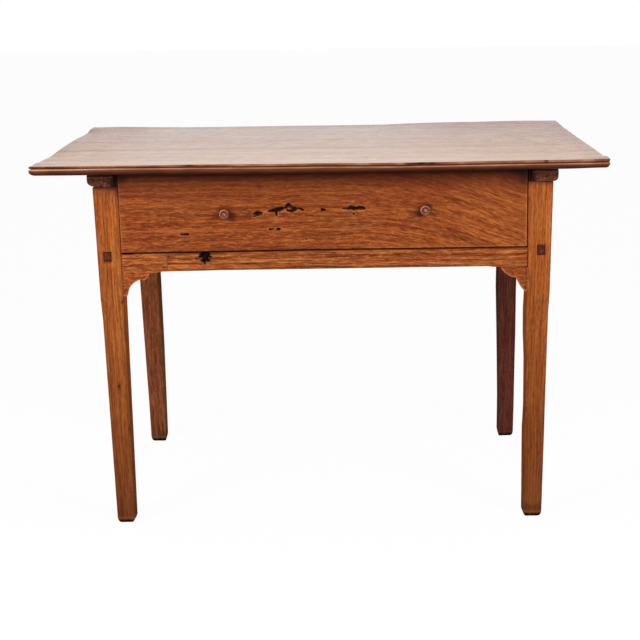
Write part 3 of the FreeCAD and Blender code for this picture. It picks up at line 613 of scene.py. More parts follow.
def moulding_profile():
    """The moulded edge as distance in from the edge and height over the underside, from below.

    A quarter round underneath, a short face with an eased arris, a narrow groove and a bead.
    """
    round_in, round_up, face_top, arris = 12, 8, 9.5, 1.5
    bead_radius, bead_middle = 2.6, 14.9
    quarter = np.linspace(0, math.pi / 2, 9)
    half = np.linspace(-math.pi / 2, math.pi / 2, 13)
    under = np.stack([round_in * (1 - np.sin(quarter)), round_up * (1 - np.cos(quarter))], -1)
    quarter = quarter[::2]
    ease = np.stack([arris * (1 - np.cos(quarter)), face_top + arris * np.sin(quarter)], -1)
    groove = np.array([[2.8, 11.0], [3.85, 11.05], [4.0, 11.6], [3.85, 12.25], [3.2, 12.3]])
    bead = np.stack([bead_radius * (1 - np.cos(half)), bead_middle + bead_radius * np.sin(half)], -1)
    return np.concatenate([under, ease, groove, bead])


def curled(y, up, start, curl, share):
    """Bends the board up towards its long edge round a level line, by a share of the full curl."""
    length, radius = curl
    end = np.sign(start)
    past = np.clip((y - start) * end / length, 0, None)
    turn = math.asin(length / (radius - curl_line)) * past * share
    arc = radius / share - up
    bent_y = np.where(turn > 0, start + end * arc * np.sin(turn), y)
    return bent_y, up + arc * (1 - np.cos(turn))


# How far the back edge stands up or down along the table
back_edge_lift = [(-455, 1.9), (-390, 0.0), (-320, -1.1), (130, -1.1), (200, 0.85), (270, 1.65),
                  (340, 1.5), (405, 2.2), (475, 2.2)]
# Darkening on the moulding by height over the underside: soiling, with painted shade on the quarter
# round underneath and in the groove
edge_shade_and_dirt = [(0, 1.8), (4, 1.5), (6.4, 1.2), (8.0, 1.05), (9.2, 0.75), (10.2, 0.3), (10.9, 0.7),
             (11.7, 1.1), (12.6, 1.0), (13.8, 0.95), (14.7, 0.75), (15.6, 0.85), (16.5, 0.95),
             (17.5, 0.6)]
# Knocks on the moulding's upper edge, and old blots on the top, measured from its front edge
edge_bruises = [(163, -294, 9, 12, 0.9), (182, -294, 10, 12, 1.2), (201, -294, 7, 12, 0.9),
                (-237, -294, 6, 10, 0.8), (408, -294, 3, 8, 0.8)]
top_blots = [(268, 369, 7, 7, 0.8), (79, 96, 6, 8, 0.7), (-108, 273, 5, 6, 0.8), (-60, 471, 5, 7, 0.6),
             (-157, 115, 6, 8, 0.5), (-316, 465, 5, 6, 0.6), (437, 305, 18, 22, -0.7),
             (150, 40, 30, 5, -0.5)]


def lay_top(points):
    """Gives the flat top its curled long edges, uneven ends and back and its blunt corner."""
    x, y, up = np.moveaxis(points, -1, 0)
    bow = 1 - 0.42 * np.cos(np.clip(x / 470, -1, 1) * math.pi / 2) ** 2
    flat_rear = 0.30 + 0.70 * smooth(x, 60, 480)
    front_start, rear_start = top_front + front_curl[0], top_rear - rear_curl[0]
    new_y, new_z = y, up
    for curls, start, curl, share in ((y < front_start, front_start, front_curl, bow),
                                      (y > rear_start, rear_start, rear_curl, flat_rear)):
        bent_y, bent_z = curled(y, up, start, curl, share)
        new_y, new_z = np.where(curls, bent_y, new_y), np.where(curls, bent_z, new_z)
    new_y = np.clip(new_y, top_front + 0.05, top_rear - 0.05)

    # Both ends rise a little, with humps and dips of their own
    ends = np.interp(x, [-522, -436, 436, 522], [1.0, 0, 0, 2.2])
    ends = ends * smooth(y, -292, -240) * smooth(-y, -292, -250)
    ends += smooth(-x, 440, 520) * (1.6 * hump(y, -250, 26) - 2.6 * hump(y, -122, 50)
                                    - 3.4 * smooth(y, 60, 240) * (1 - 0.85 * smooth(y, 222, 275)))
    ends += smooth(x, 440, 520) * (2.4 * hump(y, -270, 18) - 0.9 * hump(y, -226, 20)
                                   - 0.6 * smooth(y, -150, 0))
    back = np.interp(x, *zip(*back_edge_lift)) * smooth(y, 190, 285)
    # The upper face has slow waves, and the front edge is thicker in its left half
    waves = 0.22 * rough(x / 90, y / 60, 5) * (up > 9) - 0.22 * (up > 9)
    thick = 1.7 * smooth(-x, -150, 10) - 0.6 * smooth(-x, 380, 480)
    thick *= smooth(up, 3, 11)
    thick *= smooth(-y, 236, 290)
    thick *= 1 - smooth(up, 12.6, 16.5) * (0.1 + 0.9 * smooth(-x, 120, 420))

    # The front right corner is worn blunt
    blunt_reach = 9
    blunt = (np.clip(1 - (new_y - top_front) / blunt_reach, 0, 1) ** 2
             * np.clip(1 - (half_length - x) / blunt_reach, 0, 1) ** 2)
    new_z = top_underside + new_z + ends + back + thick + waves
    return np.stack([x - 4.0 * blunt, new_y + 3.0 * blunt, new_z], -1)


def top_board(node, y_low, y_high, number):
    """One board of the top.

    The wall is the board's outline carried up the moulding, drawn in by the moulding's depth on
    the outer edges only; the upper and lower faces are grids that share the outline's places.
    """
    profile = moulding_profile()
    front_moulded, rear_moulded = y_low == top_front, y_high == top_rear
    seam_ease = np.maximum(profile[:, 1] - (top_thickness - 0.5), 0)
    places_along, step_across, edge_reach = 330, 3.2, 6
    s = np.linspace(-1, 1, places_along)
    t = np.linspace(0, 1, int((y_high - y_low) / step_across))

    def outline_points(across, along, inset, ease, up):
        low = y_low + (inset if front_moulded else ease)
        high = y_high - (inset if rear_moulded else ease)
        across = across * (half_length - inset)
        return np.stack(np.broadcast_arrays(across, low + along * (high - low), up), -1)

    across = np.concatenate([s, np.ones(len(t)), s[::-1], -np.ones(len(t))])[:, None]
    along = np.concatenate([np.zeros(len(s)), t, np.ones(len(s)), t[::-1]])[:, None]
    wall = outline_points(across, along, profile[None, :, 0], seam_ease[None, :], profile[None, :, 1])
    x, y, up = np.moveaxis(wall, -1, 0)
    rim = smooth(up, 12.3, 15)
    worn = np.clip(rough(x / 24, y / 24, 40 + number), 0, 1) * rim
    bruised = spots(x, y, edge_bruises) * rim
    wear = np.clip(worn * 0.6 + bruised, 0, 1.2)
    out = wall[..., :2] - [0, (y_low + y_high) / 2]
    on_edge = np.abs(out) > [half_length - edge_reach, (y_high - y_low) / 2 - edge_reach]
    wall[..., :2] -= 0.55 * wear[..., None] * (np.sign(out) * on_edge)
    # Soiling and painted shade on the moulding; shine is a painted highlight on the eased arris above
    # the short face, at the left end of the front edge.
    moulding_shade_and_dirt = np.interp(up, *zip(*edge_shade_and_dirt)) + 0.25 * rough(x / 30, up / 5, 60 + number)
    moulding_shade_and_dirt += 0.4 * smooth(-x, 400, 500) * smooth(up, 12, 13.5)
    shine = hump(up, 10.3, 0.6) * smooth(-x, 390, 430) * (y < -250)
    skin = Skin().grid(lay_top(wall), ring=True, board=number,
                       stain=moulding_shade_and_dirt - 0.3 * worn + 0.9 * bruised - 0.2 * shine,
                       wear=np.clip(0.2 * worn - bruised + 0.5 * shine, 0, 1),
                       dull=np.clip(1.3 - smooth(up, 16.6, 17.5), 0, 1))

    upper_face, lower_face = (profile[-1, 0], seam_ease[-1], top_thickness), (profile[0, 0], 0.0, 0.0)
    for inset, ease, up in (upper_face, lower_face):
        sheet = outline_points(s[:, None], t[None, :], inset, ease, up)
        x, y = sheet[..., 0], sheet[..., 1]
        from_front = y - top_front
        old = spots(x - frame_shift, from_front, top_blots)
        seam = np.exp(-np.minimum(np.abs(y - front_seam), np.abs(y - rear_seam)) / 1.6)
        streak = 0.35 * rough(x / 160, y / 7, 70 + number)
        streak = streak + 0.3 * rough(x / 70, y / 40, 80) * smooth(y, -150, 150)
        outer = smooth(np.abs(x), 470, 520) * 0.25 + (0.15 * smooth(y, 150, 290) if up else 1.3)
        dulled = 0.2 * smooth(-x, 330, 450) + 0.2 * smooth(x, 60, 420) if up else 1.0
        # The narrow pale band along the front edge is a painted highlight.
        skin.grid(lay_top(sheet), board=number, stain=old + 0.9 * seam + streak + outer,
                  wear=0.25 * fading(from_front - 2, 3.0), dull=dulled)
    skin.piece(node, "worn", "top_wood", top_wood, shift=0)


top_board("top_front_board", top_front, front_seam, 1)
top_board("top_middle_board", front_seam, rear_seam, 2)
top_board("top_rear_board", rear_seam, top_rear, 3)


# ---------------------------------------------------------------- legs

# Knots, holes and knocks on the fronts of the front legs; the first on the front left leg, just under
# the bracket's tip, is the bracket's painted shadow
leg_knots_and_shadow = {
    (LEFT, FRONT): [(-389.6, 463.5, 2.6, 4.0, 1.3), (-408.0, 292.8, 2.4, 4.0, 1.6),
                    (-408.0, 292.4, 5.0, 8.0, 0.5), (-392.2, 203.1, 3.4, 5.0, 1.4),
                    (-415.3, 340.5, 1.8, 2.4, 0.8)],
    (RIGHT, FRONT): [(390.8, 209.7, 2.6, 3.6, 1.1), (391.4, 231.4, 2.0, 2.8, 0.8)],
    (LEFT, REAR): [], (RIGHT, REAR): [],
}


def leg(node, side, end, number):
    """A tapered leg with worn arrises, a worn foot and the mortise of the side apron's tenon.

    A straight board is drawn in towards its outer corner in proportion to height; noise takes a
    little off its faces and more off its arrises, and the mortise is pushed in.
    """
    outer_x, outer_y = side * leg_outer, legs_front if end == FRONT else legs_rear
    x_pair = sorted([outer_x, outer_x - side * leg_top])
    y_pair = sorted([outer_y, outer_y - end * leg_top])
    low, high = (x_pair[0], y_pair[0], 0.0), (x_pair[1], y_pair[1], leg_height)
    arris, nudges, seed = 2.6, (-0.22, 0.22), 10 * number
    # Two close lines of points on each side of the mortise's four edges
    middle = tenon_middle[side]
    width = leg_foot + (leg_top - leg_foot) * middle / leg_height
    edges = [outer_x + (side * edge - outer_x) * leg_top / width for edge in tenon_end]
    lines = np.array([edge + nudge for edge in edges for nudge in nudges])
    shares = np.sort((lines - x_pair[0] - arris) / (leg_top - 2 * arris))
    even = np.linspace(0, 1, 13)
    clear = even[np.min(np.abs(even[:, None] - shares), 1) > 0.02]
    mortised = np.sort(np.concatenate([clear, shares]))
    sides = [even, even, even, even]
    sides[0 if end == REAR else 2] = (1 - mortised)[::-1] if end == REAR else mortised
    z_lines = [middle + up * tenon_half_height + nudge for up in (-1, 1) for nudge in nudges]
    along = end_places(0.0, leg_height, 5.0, arris, 1.2, 3.2, 4.2, 5.5, 7.0, 9.0, 11.0, 13.5, *z_lines)
    points, facing = board_grid(low, high, ALONG_Z, arris, along, sides)
    x, y, z = split(points)
    edge = arris_mark(points, low, high, 2.0)

    # The mortise, the planed faces and the chipped arrises
    outward = facing[..., 1] * end
    from_x, from_z = np.abs(x - sum(edges) / 2), np.abs(z - middle)
    inside = (outward > 0.99) & (from_z < tenon_half_height) & (from_x < abs(edges[0] - edges[1]) / 2)
    around = np.hypot(np.maximum(from_x - 7.3, 0), np.maximum(from_z - 9.1, 0))
    around = smooth(-around, -1.6, 0) * (outward > 0.9)
    planed = 0.14 * (1 + rough((x + y) / 18, z / 120, seed))
    chips = np.clip(rough((x - y) / 9, z / 14, seed + 3) - 0.25, 0, 1) * 1.6 * edge
    points -= facing * (planed + chips)[..., None] * (np.abs(facing[..., 2:]) < 0.5)

    # The rounded foot, worn lowest at its inner corner
    inward = np.abs(points[..., 0] - outer_x) / leg_top
    backward = np.abs(points[..., 1] - outer_y) / leg_top
    foot = 12.5 - 2.5 * inward - 6.0 * inward * backward + 2.0 * rough(x / 14, y / 14, seed + 5)
    low_down = np.clip(1 - z / foot, 0, 1)
    drawn = foot * (0.75 + 0.2 * inward) * (1 - np.sqrt(np.maximum(1 - low_down ** 2, 0)))
    centre = np.array([(x_pair[0] + x_pair[1]) / 2, (y_pair[0] + y_pair[1]) / 2])
    toward = (points[..., :2] - centre) / (leg_top / 2)
    points[..., :2] -= toward * drawn[..., None] * [1.0, 0.25]
    points[..., 1] -= np.where(inside, end * mortise_depth, 0)

    # The taper and the bends
    share = (leg_foot + (leg_top - leg_foot) * z / leg_height) / leg_top
    points[..., 0] = outer_x + (points[..., 0] - outer_x) * share
    points[..., 1] = outer_y + (points[..., 1] - outer_y) * share
    height, outer, inner = zip(*leg_bend[side, end])
    points[..., 0] += np.interp(z, height, outer) * (1 - inward) + np.interp(z, height, inner) * inward

    # The arrises and the sole darkened, painted shade at the head under the batten, and the marks
    patchy = 0.6 + 0.8 * rough(x / 20, z / 40, seed + 7)
    frayed = z + 1.5 * rough(x / 4, y / 4, seed + 8)
    sole = smooth(-frayed, -8.5, -4)
    stain = 0.9 * around + 1.9 * sole + 0.9 * edge * np.clip(patchy, 0, 1)
    stain += 0.7 * smooth(z, 677, 685) + 0.35 * smooth(-frayed, -34, -8)
    # On the front left leg, painted shadow of the batten over the inner part of its head, and a little
    # darker near the foot; the front right leg a little lighter near its foot and head.
    if end == FRONT and side == LEFT:
        stain += 0.6 * smooth(z, 650, 683) * smooth(inward, 0.3, 0.85) + 0.06 * smooth(-z, -150, -20)
    elif end == FRONT:
        stain -= 0.12 * smooth(-z, -150, -20) + 0.08 * smooth(z, 520, 620)
    stain += spots(outer_x + (x - outer_x) * share, z, leg_knots_and_shadow[side, end]) * (facing[..., 1] < -0.5)
    wear = 0.35 * edge * np.clip(1 - patchy, 0, 1) + 0.2 * hump(frayed, 11, 2)
    skin = Skin().grid(points, ring=True, board=number * 0.37, stain=stain, wear=wear,
                       hollow=np.maximum(0.8 * inside, 0.6 * sole),
                       dull=np.maximum(np.abs(facing[..., 0]) ** 2, sole))
    leg_cheek(skin, side, y_pair, number)
    rear_finish = rear_left_leg_wood if side == LEFT else rear_right_leg_wood
    skin.piece(node, "worn", "frame_wood", leg_wood if end == FRONT else rear_finish)


def leg_cheek(skin, side, y_pair, number):
    """The leg's cheek beside the batten: a thin board that widens upwards along the batten's slope."""
    inner, arris = leg_outer - leg_top + 0.15, 0.8
    low_x, high_x = sorted([side * inner, side * (inner + leg_cheek_head)])
    low = (low_x, y_pair[0] + 0.1, leg_height - 1.5)
    high = (high_x, y_pair[1] - 0.1, top_underside - 0.2)
    along = end_places(low[2], high[2], 4.0, arris)
    points, _ = board_grid(low, high, ALONG_Z, arris, along, even_sides(low, high, ALONG_Z, arris, 4.0))
    rise = np.clip((points[..., 2] - leg_height) / (top_underside - leg_height), 0, 1)
    width = leg_cheek_foot + (leg_cheek_head - leg_cheek_foot) * rise - 0.3
    points[..., 0] = side * (inner + (np.abs(points[..., 0]) - inner) * width / leg_cheek_head)
    # The cheek is darkened to near black as painted shade, deeper towards the top.
    skin.grid(points, ring=True, board=number * 0.37, stain=1.35 + 0.45 * rise, dull=1.0)


leg("front_left_leg", LEFT, FRONT, 1)
leg("front_right_leg", RIGHT, FRONT, 2)
leg("rear_left_leg", LEFT, REAR, 3)
leg("rear_right_leg", RIGHT, REAR, 4)


# ---------------------------------------------------------------- battens and aprons

def rounded_outline(corners, radii, turns=6, step=4.0):
    """A closed outline with its corners rounded, as points no further apart than a step.

    Each corner's arc starts and ends where it meets its two sides.
    """
    corners = np.array(corners, float)
    parts = []
    for k, radius in enumerate(radii):
        here, before, after = corners[k], corners[k - 1], corners[(k + 1) % len(corners)]
        back = (before - here) / np.linalg.norm(before - here)
        on = (after - here) / np.linalg.norm(after - here)
        half = math.acos(np.clip(back @ on, -1, 1)) / 2
        run = radius / math.tan(half)
        centre = here + (back + on) / np.linalg.norm(back + on) * radius / math.sin(half)
        start, finish = here + back * run - centre, here + on * run - centre
        first = math.atan2(start[1], start[0])
        sweep = (math.atan2(finish[1], finish[0]) - first + math.pi) % (2 * math.pi) - math.pi
        angle = first + sweep * np.linspace(0, 1, turns + 1)
        parts.append(centre + radius * np.stack([np.cos(angle), np.sin(angle)], -1))
    return evened(np.concatenate(parts), step)


def evened(outline, step):
    """A closed outline with further points laid on its long straight runs."""
    closed = np.vstack([outline, outline[:1]])
    run = np.concatenate([[0], np.cumsum(np.hypot(*np.diff(closed, axis=0).T))])
    where = np.unique(np.concatenate([run[:-1], np.arange(0, run[-1], step)]))
    return np.stack([np.interp(where, run, closed[:, k]) for k in (0, 1)], -1)


def outline_normals(outline):
    """Outward directions of a closed outline, square to the line between its neighbours."""
    along = np.roll(outline, -1, 0) - np.roll(outline, 1, 0)
    normal = np.stack([along[:, 1], -along[:, 0]], -1)
    normal /= np.maximum(np.linalg.norm(normal, axis=1, keepdims=True), 1e-9)
    x, z = outline.T
    area = np.sum(x * np.roll(z, -1) - np.roll(x, -1) * z)
    return normal * np.sign(area)


cap_shares = (0, 0.35, 0.7, 0.88, 0.95)


def carried_outline(outline, y_low, y_high, arris, hub, step=6.0):
    """An outline in X and Z carried from front to back, its ends eased and drawn in to a hub."""
    along = end_places(y_low, y_high, step, arris)
    from_end = np.minimum(along - y_low, y_high - along).clip(0, arris)
    inset = arris - np.sqrt(np.maximum(arris ** 2 - (arris - from_end) ** 2, 0))
    normals = outline_normals(outline)
    rings = outline[:, None, :] - normals[:, None, :] * inset[None, :, None]
    ends = [hub + (rings[:, k] - hub)[:, None, :] * np.array(shares)[None, :, None]
            for k, shares in ((0, cap_shares), (-1, cap_shares[::-1]))]
    flat = np.concatenate([ends[0], rings, ends[1]], 1)
    caps = len(cap_shares)
    depth = np.concatenate([np.full(caps, along[0]), along, np.full(caps, along[-1])])
    points = np.stack([flat[..., 0], np.broadcast_to(depth, flat.shape[:2]), flat[..., 1]], -1)
    facing = np.zeros_like(points)
    facing[:, caps:-caps, 0], facing[:, caps:-caps, 2] = normals[:, None, 0], normals[:, None, 1]
    return points, facing


def batten(node, side, number):
    """A dark batten: its section carried front to back, with its front upper edge sloped off."""
    front, back = legs_front - batten_overhang, legs_rear + batten_overhang
    corners = [(side * batten_outer, top_underside), (side * batten_inner, top_underside),
               (side * batten_foot, leg_height), (side * batten_outer, leg_height)]
    outline = rounded_outline(corners, [1.4, 1.2, 1.2, 9.0 if side == RIGHT else 11.0])
    points, facing = carried_outline(outline, front, back, 1.2, np.array([side * 414.0, 700.0]))
    x, y, z = split(points)
    worn = 0.25 * (1 + rough((x + z) / 12, y / 22, 200 + number))
    points -= facing * worn[..., None] * (np.abs(z - top_underside)[..., None] > 0.5)
    if side == LEFT:
        lifted = 1.6 * smooth(-x, 405, 438) * smooth(-z, -700, -leg_height)
        points[..., 2] += lifted * smooth(-y, -legs_front - 40, -legs_front)
    slope = top_underside - batten_slope_drop * np.clip(1 - (y - front) / batten_slope, 0, 1)
    ragged = np.abs(0.5 * rough(x / 5, y / 5, 210 + number)) * (y < front + batten_slope)
    points[..., 2] = np.minimum(points[..., 2], slope - ragged)
    # A pale line along the sloped front edge is a painted highlight, and the darkened inner end beside
    # the drawer is painted shade.
    pale = 0.9 * np.exp(-np.abs(points[..., 2] - slope) / 1.2) * (y < front + 2)
    stain = {LEFT: 0.12, RIGHT: 0.02}[side] + 1.2 * smooth(-np.abs(x), -402, -391)
    skin = Skin().grid(points, ring=True, board=number * 0.71, wear=pale, stain=stain)
    skin.piece(node, "worn", "batten_wood", batten_wood)


batten("left_batten", LEFT, 1)
batten("right_batten", RIGHT, 2)


def plank(skin, low, high, axis, arris, step, number, side_step=6.0, planed=0.12, bare_and_highlight=0.4, dirty=0.0,
          **marks):
    """A sawn and planed board added to a piece, with a little taken off its faces."""
    low, high = np.array(low, float), np.array(high, float)
    along = end_places(low[axis], high[axis], step, arris)
    sides = even_sides(low, high, axis, arris, side_step)
    points, facing = board_grid(low, high, axis, arris, along, sides)
    across = points[..., (axis + 1) % 3] + points[..., (axis + 2) % 3]
    take = planed * (1 + rough(across / 16, points[..., axis] / 70, 300 + number))
    edge = arris_mark(points, low, high, 1.6)
    points -= facing * take[..., None]
    skin.grid(points, ring=True, board=number * 0.43, wear=bare_and_highlight * edge, stain=dirty * edge, **marks)
    return skin


def side_apron(node, side, number):
    """A side apron between its legs, and the dark ends of its lower tenon showing in both legs."""
    low_x, high_x = sorted([side * edge for edge in apron_sides])
    skin = plank(Skin(), (low_x, apron_ends[0], rail_low), (high_x, apron_ends[1], apron_head),
                 ALONG_Y, 0.8, 8.0, number)
    low_x, high_x = sorted([side * edge for edge in tenon_end])
    low_z, high_z = (tenon_middle[side] + up * (tenon_half_height - 0.2) for up in (-1, 1))
    for start, finish in ((legs_front + 0.15, legs_front + 30), (legs_rear - 30, legs_rear - 0.15)):
        plank(skin, (low_x + 0.2, start, low_z), (high_x - 0.2, finish, high_z), ALONG_Y, 0.7, 8.0,
              number + 5, side_step=1.0, planed=0.05, bare_and_highlight=0.0, dirty=0.9, tenon=1.0)
    apron = skin.piece(node, "planed", "frame_wood", apron_wood).data
    apron.materials.append(tenon_wood)
    tenon = np.zeros(len(apron.vertices), np.float32)
    apron.attributes["tenon"].data.foreach_get("value", tenon)
    corner = np.zeros(len(apron.loops), np.int32)
    apron.loops.foreach_get("vertex_index", corner)
    start = np.zeros(len(apron.polygons), np.int32)
    apron.polygons.foreach_get("loop_start", start)
    apron.polygons.foreach_set("material_index", (tenon[corner[start]] > 0.5).astype(np.int32))


side_apron("left_side_apron", LEFT, 1)
side_apron("right_side_apron", RIGHT, 2)
rear_low = (-rear_apron_half, rear_apron_faces[0], rail_low)
rear_high = (rear_apron_half, rear_apron_faces[1], apron_head)
rear_apron = plank(Skin(), rear_low, rear_high, ALONG_X, 0.9, 9.0, 7)
rear_apron.piece("rear_apron", "planed", "frame_wood", rear_apron_wood)


# ---------------------------------------------------------------- front rail, repair, brackets

def relief_height(x):
    """How far the rail's lower edge is hollowed: level in the middle, coved beside each bracket."""
    return 1.5 * smooth(-np.abs(x), -322.6, -310.6)


def upper_sag(x):
    """How far the joint between drawer and rail drops towards the left end."""
    return 2.0 * np.minimum(0, x + 40) / 345


def lower_sag(x):
    """How far the rail's lower edge drops at the left end and rises at the right one."""
    return np.interp(x, [-385, -200, 385], [-1.8, 0.0, 0.5])


def sag_rail(points):
    """Moves the rail's and the repair's points up or down between the two edges' sags."""
    x, share = points[..., 0], (points[..., 2] - rail_low) / (rail_high - rail_low)
    points[..., 2] += upper_sag(x) * share + (lower_sag(x) + relief_height(x)) * (1 - share)


def gap_shade_and_dirt(upper, x):
    """Darkening along a rail's upper arris, under the drawer, thickest at the left: painted shade of the
    gap, with some soiling.
    """
    return 1.8 * smooth(upper, 0.35, 0.8) * (0.7 + 0.3 * smooth(-x, -150, 150))


def joint_dirt(x):
    """Dirt where a piece meets a leg."""
    return 1.2 * fading(joint_half - np.abs(x), 0.8)


def faced_board(low, high, arris, steps, reach, *extra):
    """A board that runs along X, with its arris mark and the share that faces forward.

    The steps are those along it, down its finely divided front face and over its other faces.
    """
    step, fine, coarse = steps
    y_size, z_size = high[1] - low[1] - 2 * arris, high[2] - low[2] - 2 * arris
    sides = [np.linspace(0, 1, max(2, int(size / apart) + 1))
             for size, apart in ((y_size, coarse), (z_size, fine), (y_size, coarse), (z_size, coarse))]
    along = end_places(low[0], high[0], step, arris, *extra)
    points, facing = board_grid(low, high, ALONG_X, arris, along, sides)
    return points, facing, arris_mark(points, low, high, reach), np.clip(-facing[..., 1], 0, 1)


def rail_board(end, depth, arris, steps, reach, *extra):
    """A board in the rail's place from its left end on, sagged; upper marks its upper arris."""
    low, high = (-rail_half, legs_front, rail_low), (end, legs_front + depth, rail_high)
    points, _, edge, front = faced_board(low, high, arris, steps, reach, *extra)
    upper = smooth(points[..., 2], rail_high - 3, rail_high)
    sag_rail(points)
    return points, edge, front, upper


knot_hole = [[(-238.3, 549.4, 2.6), (-216.3, 549.4, 2.4)], [(-234.3, 553.4, 4.2), (-221.3, 554.4, 4.4)],
             [(-232.3, 542.4, 3.6), (-220.3, 542.4, 3.2)], [(-229.3, 538.4, 2.6), (-227.3, 535.9, 0.9)],
             [(-226.3, 548.4, 6.5), (-226.3, 558, 6.5)]]
knot_dots = [[(-244.5, 546.7, 1.5), (-243.3, 546.7, 1.3)]]
rail_streaks = [(-143, 536.4, 26, 1.5, 0.9), (30, 547.4, 20, 1.4, 0.9), (-60, 540, 40, 1.0, 0.5),
                (200, 551, 60, 1.1, 0.6), (290, 545, 50, 1.1, 0.6), (-290, 551, 8, 1.5, 0.5)]
rail_spots = [(-296, 552, 2, 4, 0.7), (-296, 538, 2, 4, 0.6)]
patch_slot = [[(-381.5, 557.9, 1.5), (-365.0, 557.5, 1.3)]]
patch_spots = [(-299.5, 548, 1.6, 7, 0.8), (-300, 533, 1.4, 5, 0.6)]


def front_rail():
    """The rail: its front face is pushed in at the knot hole, along the grain's soft lines and
    behind the repair, and its lower edge is hollowed."""
    points, edge, front, upper = rail_board(
        rail_half, rail_depth, 1.0, (1.5, 1.2, 6.0), 1.4, patch_end - 0.2, patch_end + 0.1)
    x, _, z = split(points)
    lines = np.clip(rough(x / 90, z / 1.7, 402), 0, 1) * 0.35
    hole = outside_holes(x, z, knot_hole) + 1.2 * rough(x / 3, z / 3, 404)
    deep = smooth(-hole, -0.4, 1.2) * (x > -262) * (x < -192)
    dots = smooth(-outside_holes(x, z, knot_dots), -0.6, 0.4)
    specks = np.clip(rough(x / 5, z / 2.6, 408) - 0.42, 0, 1) * 2.2 * smooth(x, 120, 260)
    push = (lines + specks * 0.5) * front + hole_depth * deep * np.maximum(front, upper * deep)
    push = push + dot_depth * dots * front
    push = np.where(x < patch_end, patch_depth + 0.15, push)
    points[..., 1] += np.where(front > 0.02, push, 0)
    dark = spots(x, z, rail_streaks) + 1.6 * lines + specks + spots(x, z, rail_spots)
    dark += joint_dirt(x) + gap_shade_and_dirt(upper, x)
    bare_and_highlight = 0.4 * edge * np.clip(0.5 + rough(x / 30, z / 9, 411), 0, 1) * (1 - upper)
    skin = Skin().grid(points, ring=True, board=0.9, wear=bare_and_highlight, stain=np.clip(dark, -1, 1.7),
                       hollow=np.clip(np.maximum(deep, dots), 0, 1))
    skin.piece("front_rail", "worn", "rail_wood", rail_wood)


def rail_patch():
    """The let-in repair: two straight shakes run along it and a worn slot at its upper edge."""
    points, edge, front, upper = rail_board(patch_end - 0.15, patch_depth, 0.7, (1.0, 0.6, 3.0), 1.2)
    x, _, z = split(points)
    shakes = np.zeros_like(x)
    for height in (547.8, 533.5):
        line = height - 0.015 * (x + 345) + 0.4 * rough(x / 22, z * 0, 420)
        shakes = np.maximum(shakes, hump(z, line, 0.7) * smooth(-x, 299, 308))
    slot = smooth(-(outside_holes(x, z, patch_slot) + 0.5 * rough(x / 3, z / 3, 421)), -0.5, 0.8)
    soft = np.clip(rough(x / 60, z / 1.6, 424), 0, 1) * 0.25
    points[..., 1] += front * (0.15 + soft + shake_depth * shakes + slot_depth * slot)
    stain = 0.95 * shakes + 1.2 * soft + spots(x, z, patch_spots)
    stain += joint_dirt(x) + gap_shade_and_dirt(upper, x)
    skin = Skin().grid(points, ring=True, board=1.7, wear=0.35 * edge * (1 - upper),
                       stain=np.clip(stain, 0, 1.7), hollow=slot)
    skin.piece("rail_patch", "worn", "rail_wood", patch_wood)


def arc_through(first, middle, last, count=14):
    """Points on the circle through three points, from the first to the last."""
    (x1, y1), (x2, y2), (x3, y3) = first, middle, last
    d = 2 * (x1 * (y2 - y3) + x2 * (y3 - y1) + x3 * (y1 - y2))
    squares = [x * x + y * y for x, y in (first, middle, last)]
    cx = (squares[0] * (y2 - y3) + squares[1] * (y3 - y1) + squares[2] * (y1 - y2)) / d
    cy = (squares[0] * (x3 - x2) + squares[1] * (x1 - x3) + squares[2] * (x2 - x1)) / d
    angles = np.unwrap([math.atan2(y - cy, x - cx) for x, y in (first, middle, last)])
    angle = np.linspace(angles[0], angles[2], count)
    radius = math.hypot(x1 - cx, y1 - cy)
    return np.stack([cx + radius * np.cos(angle), cy + radius * np.sin(angle)], -1)


# Each bracket's reach, drop and sawn curves, each curve through three places as shares of the two
bracket_shapes = {
    LEFT: (60.0, 48.0, [[(1.0, 0.0), (0.86, 0.08), (0.81, 0.19)],
                        [(0.81, 0.19), (0.77, 0.28), (0.67, 0.34)],
                        [(0.53, 0.33), (0.27, 0.54), (0.10, 1.0)]]),
    RIGHT: (52.0, 49.5, [[(1.0, 0.0), (0.83, 0.23), (0.41, 0.43)],
                         [(0.36, 0.53), (0.24, 0.77), (0.05, 1.0)]]),
}
# Two small marks on the left bracket, and painted shade at each bracket's tip where it meets its leg.
bracket_marks_and_shade = {
    LEFT: [(-366.6, 513.6, 1.1, 3.0, 0.9), (-364.8, 509.2, 1.1, 3.0, 0.9), (-379, 485, 5, 6, 1.0)],
    RIGHT: [(383.5, 476, 4, 6, 0.6)],
}


